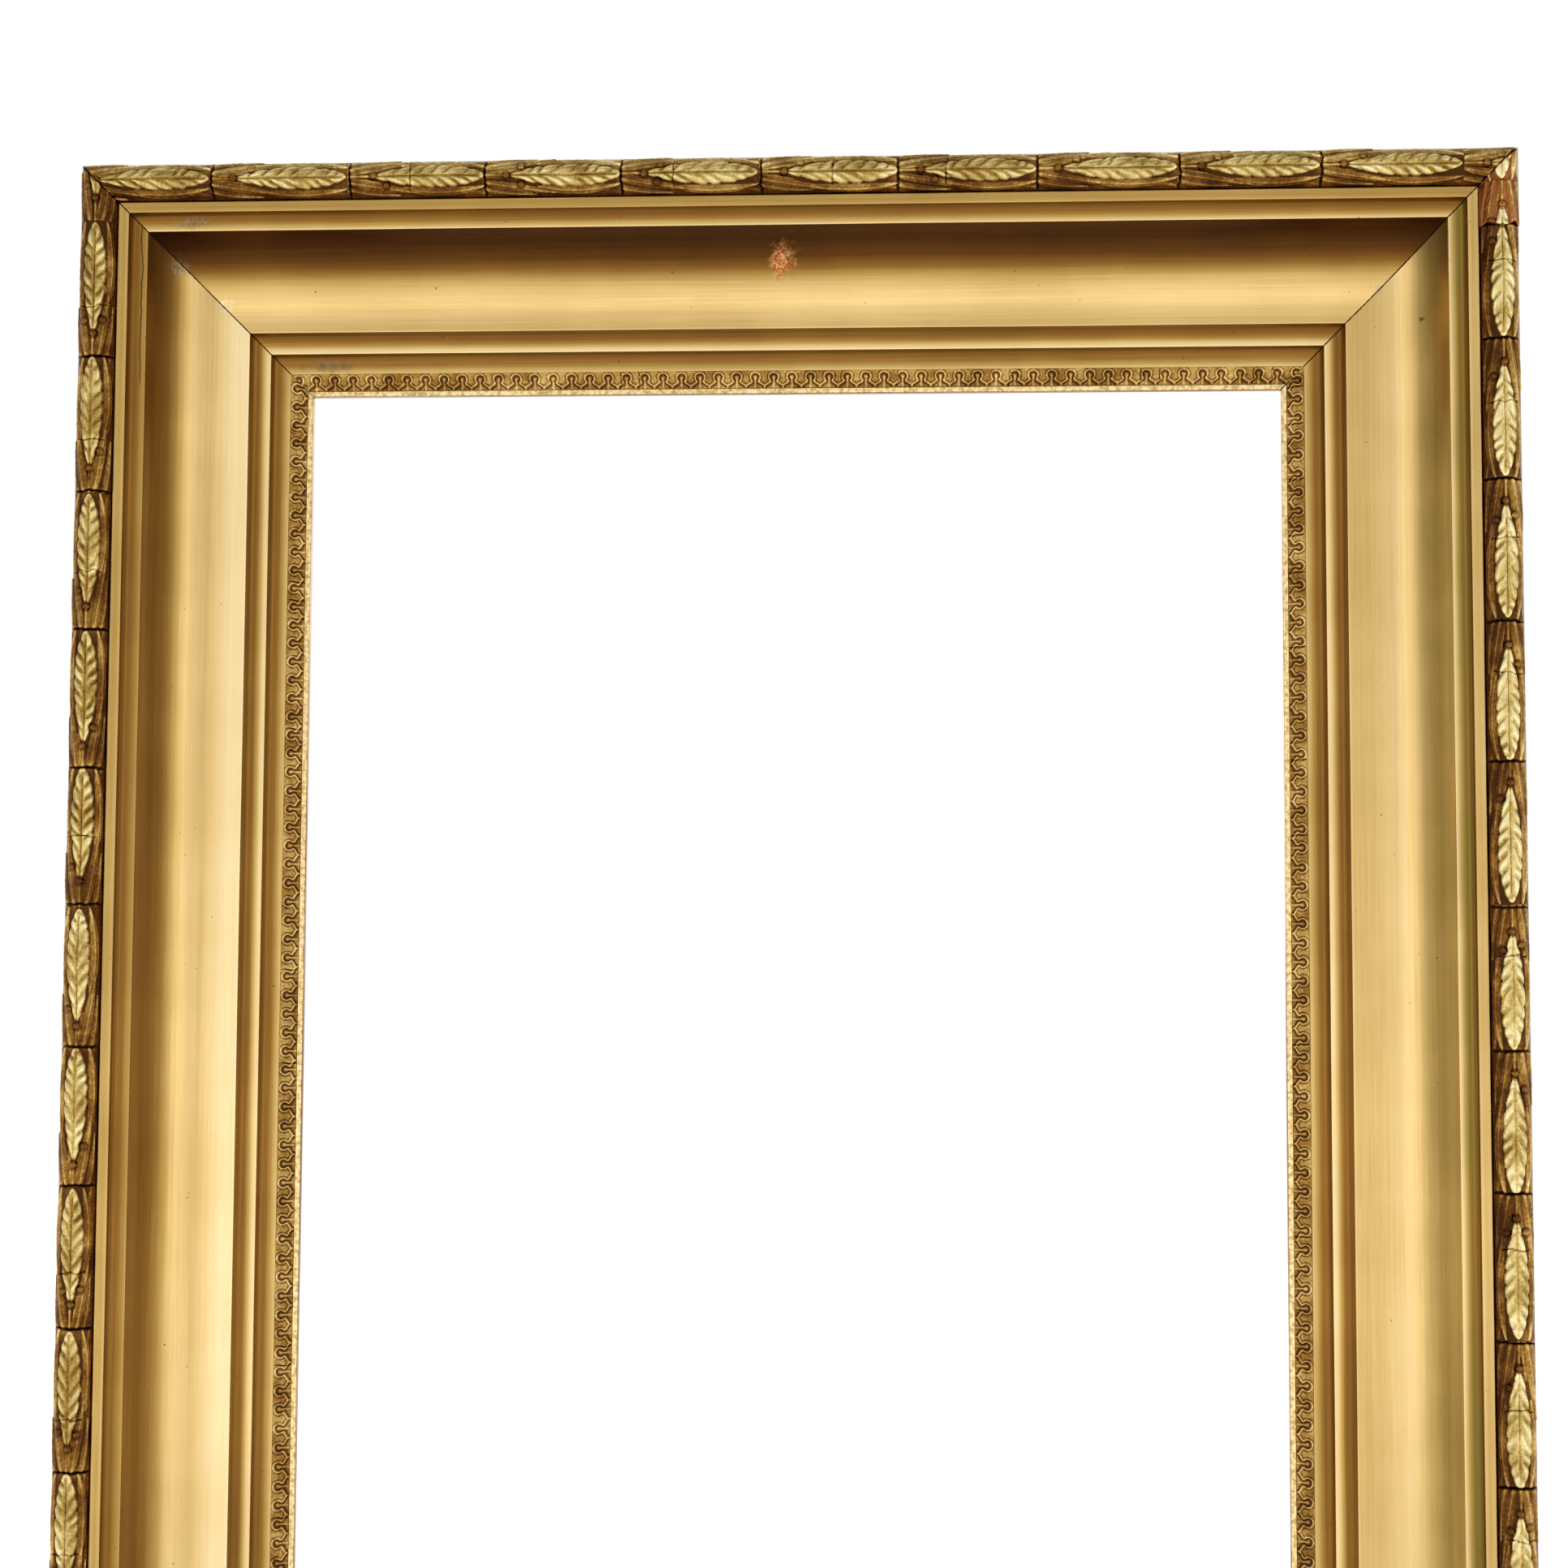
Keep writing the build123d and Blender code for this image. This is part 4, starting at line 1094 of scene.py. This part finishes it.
def strip_piece(side):
    """One side's carved strip on its sloping bed."""
    length = side_length(side)
    share = np.linspace(0, 1, STRIP_COLUMNS)[None, :]
    across = ORNAMENT_AT + (LIP_AT - ORNAMENT_AT) * share
    rows = int((length - 2 * ORNAMENT_AT) / STRIP_STEP)
    along = between_mitres(side, across, rows)
    slope = math.hypot(LIP_AT - ORNAMENT_AT, ORNAMENT_LEVEL - LIP_LEVEL)
    y = np.broadcast_to(share * slope, along.shape)
    relief = worn_strip_relief(along, length, y, STRIP_SEED + side_number(side))
    bed = ORNAMENT_LEVEL - BED_DEPTH + (LIP_LEVEL - ORNAMENT_LEVEL) * share
    edge = np.clip(np.minimum(share, 1 - share) * 12, 0.3, 1)
    top = place(side, along, across, bed + STRIP_THICKNESS - CARVING_ROOM + relief * edge)
    under = place(side, along[[0, -1]], across, bed)
    smooth = blur(relief, 4)
    ridge, cavity = smoothstep(0.0, 0.3, relief - smooth), smoothstep(0.0, 0.32, smooth - relief)
    fields = with_foot({"ridge": (ridge, 0.0), "cavity": (cavity, 1.0)}, len(under))
    points, faces = np.concatenate([top, under]), strip_faces(rows, STRIP_COLUMNS)
    name = f"sight_ornament_{side}"
    make_piece(f"{name}_carved", points, faces, fields, strip_gilt, "gilt_ornament", name, CARVED_SHARP)


for side in SIDES:
    strip_piece(side)

# Hangers and turn buttons on the back
HANGER_SETBACK = 26.0
HANGER_DROP = 250.0
STRAP_THICKNESS = 1.2
STRAP_WIDTH = 13.0
STRAP_LENGTH = 27.0
STRAP_CORNER = 4
STRAP_SCREW = 9.5
RING_WIRE = 2.5
RING_CORNER = 3.0
RING_HALF = STRAP_WIDTH / 2 + 0.4 + RING_CORNER
RING_LEG = 5.0
WIRE_SIDES = 14
EYE_RADIUS = RING_WIRE / 2 + 0.08
EYE_HEIGHT = STRAP_THICKNESS + EYE_RADIUS
EYE_SIDES = 32
BUTTON_WIDTH = 9.0
BUTTON_ARM = 16.0
BUTTON_GAP = 0.15
BUTTON_THICKNESS = 1.5
HEAD_RADIUS = 3.4
HEAD_HEIGHT = 1.8
HEAD_RIM = 0.45
HEAD_COLUMNS = 17
SLOT_HALF = 0.45
SLOT_FLOOR = 1.0
EDGE_ROUND = 0.3
EDGE_MIDDLE = 0.09


def bend(centre, radius, start, end, steps):
    """Points of a round bend, with angles in degrees."""
    return arc(centre, radius, np.radians(np.linspace(start, end, steps)))


def behind(points, origin, outwards):
    """Points in metres from x, z and height over the back, with x turned to the frame's outside."""
    points = np.asarray(points, float)
    x = origin[0] + outwards * points[:, 0]
    return np.stack([x, BACK_Y + points[:, 2], origin[1] + points[:, 1]], axis=1) * MM


def plate(outline, low, high):
    """A flat plate between two heights, with its edges a little rounded."""
    outline = np.array(outline)
    normals = unit_normals(np.roll(outline, -1, axis=0) - np.roll(outline, 1, axis=0))
    edge = [(EDGE_ROUND, 0.0), (EDGE_MIDDLE, EDGE_MIDDLE), (0.0, EDGE_ROUND)]
    steps = [(inset, low + z) for inset, z in edge] + [(inset, high - z) for inset, z in edge[::-1]]
    count = len(outline)
    rings = [np.column_stack([outline + normals * inset, np.full(count, z)]) for inset, z in steps]
    return np.concatenate(rings), capped_tube(len(rings), count)


def closed_tube(path, radius, sides):
    """A round wire along a closed line of points, given as x, z and height."""
    path = np.array(path, float)
    tangent = np.roll(path, -1, axis=0) - np.roll(path, 1, axis=0)
    flat = np.column_stack([unit_normals(tangent), np.zeros(len(path))])
    turns = np.linspace(0, 2 * math.pi, sides, endpoint=False)
    upright = np.array([0, 0, 1])
    rings = [path + radius * (math.cos(t) * flat + math.sin(t) * upright) for t in turns]
    return np.stack(rings, axis=1).reshape(-1, 3), grid_faces(len(path), sides, True, True)


def slotted_head(centre, level):
    """Domed screw head with a straight slot, at a level above the back."""
    beside = SLOT_HALF / HEAD_RADIUS
    half = np.concatenate([np.linspace(-1, -0.16, 8), [-beside - 0.01, -beside]])
    v = np.concatenate([half, -half[::-1]])[:, None] * HEAD_RADIUS
    u = np.sqrt(np.maximum(HEAD_RADIUS**2 - v**2, 0.04)) * np.linspace(-1, 1, HEAD_COLUMNS)
    dome = np.sqrt(np.maximum(1 - (u**2 + v**2) / HEAD_RADIUS**2, 0))
    height = HEAD_RIM + (HEAD_HEIGHT - HEAD_RIM) * dome
    height = np.where(np.abs(v) > SLOT_HALF + TINY, height, np.minimum(height, SLOT_FLOOR))
    grid = np.broadcast_arrays(centre[0] + u, centre[1] + v, level + height)
    return skirted(np.stack(grid, axis=-1).reshape(-1, 3), *u.shape, 2, level)


def rolled_eye():
    """The eye round the ring's bar, a short pipe across the strap."""
    half, outer = STRAP_WIDTH / 2, EYE_RADIUS + STRAP_THICKNESS
    points = []
    for end, radius in ((-half, outer), (half, outer), (half, EYE_RADIUS), (-half, EYE_RADIUS)):
        ring = bend((0, EYE_HEIGHT), radius, 0, 360, EYE_SIDES + 1)[:-1]
        points += [(x, end, z) for x, z in ring]
    return np.array(points), grid_faces(4, EYE_SIDES, True, True)


def strap_outline():
    """Outline of a strap from its eye to its rounded tail."""
    half, corner = STRAP_WIDTH / 2, STRAP_CORNER
    upper = bend((STRAP_LENGTH - corner, half - corner), corner, 90, 0, 8)
    lower = bend((STRAP_LENGTH - corner, corner - half), corner, 0, -90, 8)
    return [(0.0, -half), (0.0, half), *upper, *lower]


def ring_path():
    """Middle line of a D-ring's wire: bar, corner, round end and corner."""
    corner = RING_HALF - RING_CORNER
    path = [(0.0, z) for z in np.linspace(-corner, corner, 9)[1:-1]]
    path += bend((-RING_CORNER, corner), RING_CORNER, 0, 90, 8)
    path += bend((-RING_LEG, 0), RING_HALF, 90, 270, 30)
    path += bend((-RING_CORNER, -corner), RING_CORNER, -90, 0, 8)
    return [(x, z, EYE_HEIGHT) for x, z in path]


def button_outline():
    """A turn button's outline round its screw, with its arm hanging down."""
    half = BUTTON_WIDTH / 2
    return [*bend((0, 0), half, 180, 0, 17), *bend((0, -BUTTON_ARM), half, 0, -180, 17)]


def hardware(name, meshes, origin, outwards, material, slot, body, stands_for):
    """One or more meshes on the back as a piece that stands for a CAD node."""
    points, faces, fields = joined([(points, faces, {}) for points, faces in meshes])
    points = behind(points, origin, outwards)
    make_piece(name, points, faces, fields, material, slot, stands_for, HARDWARE_SHARP, body)


def hanger(side, outwards):
    """A strap with its D-ring and its screw."""
    eye = (outwards * (WIDTH / 2 - BACK_WIDTH + HANGER_SETBACK), HEIGHT - HANGER_DROP)
    strap = [plate(strap_outline(), 0.0, STRAP_THICKNESS), rolled_eye()]
    hardware(f"strap_{side}", strap, eye, outwards, brass, "brass", "frame", f"hanger_strap_{side}")
    ring = [closed_tube(ring_path(), RING_WIRE / 2, WIRE_SIDES)]
    ring_node = f"hanger_ring_{side}"
    hardware(f"d_ring_{side}", ring, eye, outwards, brass, "brass", ring_node, ring_node)
    screw = [slotted_head((STRAP_SCREW, 0), STRAP_THICKNESS)]
    hardware(f"strap_screw_{side}", screw, eye, outwards, steel, "steel", "frame", "hanger_screws")


def turn_button(name):
    """A turn button and its screw."""
    low, high = cad_box(name)
    pivot = ((low.x + high.x) / 2, high.z - BUTTON_WIDTH / 2)
    blade = [plate(button_outline(), BUTTON_GAP, BUTTON_GAP + BUTTON_THICKNESS)]
    hardware(f"{name}_plate", blade, pivot, 1, brass, "brass", name, name)
    screw = [slotted_head((0, 0), 2 * BUTTON_GAP + BUTTON_THICKNESS)]
    hardware(f"{name}_screw", screw, pivot, 1, steel, "steel", "frame", "turn_button_screws")


for side, outwards in (("left", -1), ("right", 1)):
    hanger(side, outwards)
    for height in ("lower", "middle", "upper"):
        turn_button(f"turn_button_{side}_{height}")

# Finishes of the CAD nodes that stay, with the edges of the boards a little worn
FINISHES = {
    "back_rail": (pine_level, "pine"),
    "back_stile": (pine_upright, "pine"),
    "lap_pegs": (oak, "oak"),
    "mitre_nails": (iron, "iron"),
}
WELD_DISTANCE = 0.001
WORN_EDGE = 0.7
EDGE_ANGLE = math.radians(40)


def wear_edges(cad_node):
    """Round the edges of a board."""
    cad_node.modifiers.new("joined_faces", "WELD").merge_threshold = WELD_DISTANCE * MM
    worn = cad_node.modifiers.new("worn_edges", "BEVEL")
    worn.width = WORN_EDGE * MM
    worn.segments = 2
    worn.limit_method = "ANGLE"
    worn.angle_limit = EDGE_ANGLE


for name, cad_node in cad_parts.items():
    for start, (material, slot) in FINISHES.items():
        if name.startswith(start):
            cad_node.data.materials.clear()
            cad_node.data.materials.append(material)
            if start.startswith("back"):
                wear_edges(cad_node)

# Floor, white surroundings and light, in metres
WHITE = (1, 1, 1, 1)
FLOOR_COLOUR = (0.8, 0.8, 0.8, 1)
FLOOR_ROUGHNESS = 0.9
FLOOR_HALF = 9.0
FLOOR_GLOW = (0.40, 0.66)
FLOOR_FADE = (0.6, 1.7)
AMBIENT = 0.40
WHITE_FROM, WHITE_FULL = 0.0, 0.6

# Soft panels: place, point that it faces, width and height, brightness of its surface
PANELS = {
    "front_panel": ((0.0, -3.0, 1.33), (0, 0, 1.1), (3.5, 2.6), 0.60),
    "top_fill": ((0.0, -0.3, 2.7), (0, 0, 0.9), (2.4, 1.6), 0.4),
    "back_panel": ((-0.4, 3.0, 1.6), (0, 0, 0.6), (3.2, 2.2), 1.6),
}
for hand, x in (("left", -1), ("right", 1)):
    PANELS[f"{hand}_panel"] = ((2.1 * x, -1.75, 1.2), (0, 0, 0.9), (1.5, 2.3), 0.92)
    PANELS[f"{hand}_fill"] = ((2.8 * x, 0.3, 1.0), (0, 0, 0.6), (2.2, 1.8), 0.35)


def seen_white(tree):
    """1 for what the camera sees, also mirrored or through glass, and 0 for the light on the object."""
    path = node("ShaderNodeLightPath", {}, tree).outputs
    seen = add(path["Is Camera Ray"], path["Is Glossy Ray"])
    return math_node("ADD", seen, path["Is Transmission Ray"], clamp=True)


def floor():
    """Plain pale floor that keeps the object's shadow and shows white further off."""
    material, shader, coordinates = new_material("floor_white")
    shader.inputs["Base Color"].default_value = FLOOR_COLOUR
    shader.inputs["Roughness"].default_value = FLOOR_ROUGHNESS
    shader.inputs["Emission Color"].default_value = WHITE
    away = vector_node("LENGTH", coordinates)
    glow = times(seen_white(material.node_tree), ramp(away, *FLOOR_FADE, *FLOOR_GLOW))
    link(glow, shader.inputs["Emission Strength"])
    mesh = bpy.data.meshes.new("floor")
    corners = [(x * FLOOR_HALF, y * FLOOR_HALF, 0) for x, y in ((-1, -1), (1, -1), (1, 1), (-1, 1))]
    mesh.from_pydata(corners, [], [(0, 1, 2, 3)])
    mesh.materials.append(material)
    sheet = add_object("floor", mesh)


def surroundings():
    """World of an even pale grey that shows white behind the object."""
    world = bpy.data.worlds.new("studio")
    world.use_nodes = True
    tree = world.node_tree
    background = tree.nodes["Background"]
    background.inputs["Color"].default_value = WHITE
    direction = node("ShaderNodeTexCoord", {}, tree).outputs["Generated"]
    backwards = node("ShaderNodeSeparateXYZ", {0: direction}).outputs[1]
    white = times(seen_white(tree), ramp(backwards, WHITE_FROM, WHITE_FULL))
    strength = add(times(white, 1 - AMBIENT), AMBIENT)
    link(strength, background.inputs["Strength"])
    bpy.context.scene.world = world


def soft_light(name, location, target, size, radiance):
    """A large soft panel whose surface has a given brightness."""
    lamp = bpy.data.lights.new(name, "AREA")
    lamp.shape = "RECTANGLE"
    lamp.size, lamp.size_y = size
    lamp.energy = radiance * math.pi * size[0] * size[1]
    panel = add_object(name, lamp)
    panel.location = location
    direction = Vector(target) - Vector(location)
    panel.rotation_euler = direction.to_track_quat("-Z", "Y").to_euler()
    panel.visible_camera = False


for name, panel in PANELS.items():
    soft_light(name, *panel)
floor()
surroundings()

# Camera, placed as the photograph's
LENS, SENSOR = 57.76, 36.0
CAMERA_FROM_BACK = -1292.8
CAMERA_BELOW_SIGHT = -287.3
CAMERA_RIGHT = 67.2
CAMERA_TURNS = (("Z", 0.0552407), ("X", 0.0671987), ("Y", -0.0045083), ("X", math.pi / 2))

camera = add_object("camera", bpy.data.cameras.new("camera"))
camera.data.lens = LENS
camera.data.sensor_width = SENSOR
sight_top = HEIGHT - MOULDING_WIDTH
spot = Vector((CAMERA_RIGHT, BACK_Y + CAMERA_FROM_BACK, sight_top + CAMERA_BELOW_SIGHT)) * MM
stance = Matrix.Translation(spot)
for axis, angle in CAMERA_TURNS:
    stance = stance @ Matrix.Rotation(angle, 4, axis)
camera.matrix_world = stance
bpy.context.scene.camera = camera
bpy.context.scene.view_settings.view_transform = "Standard"
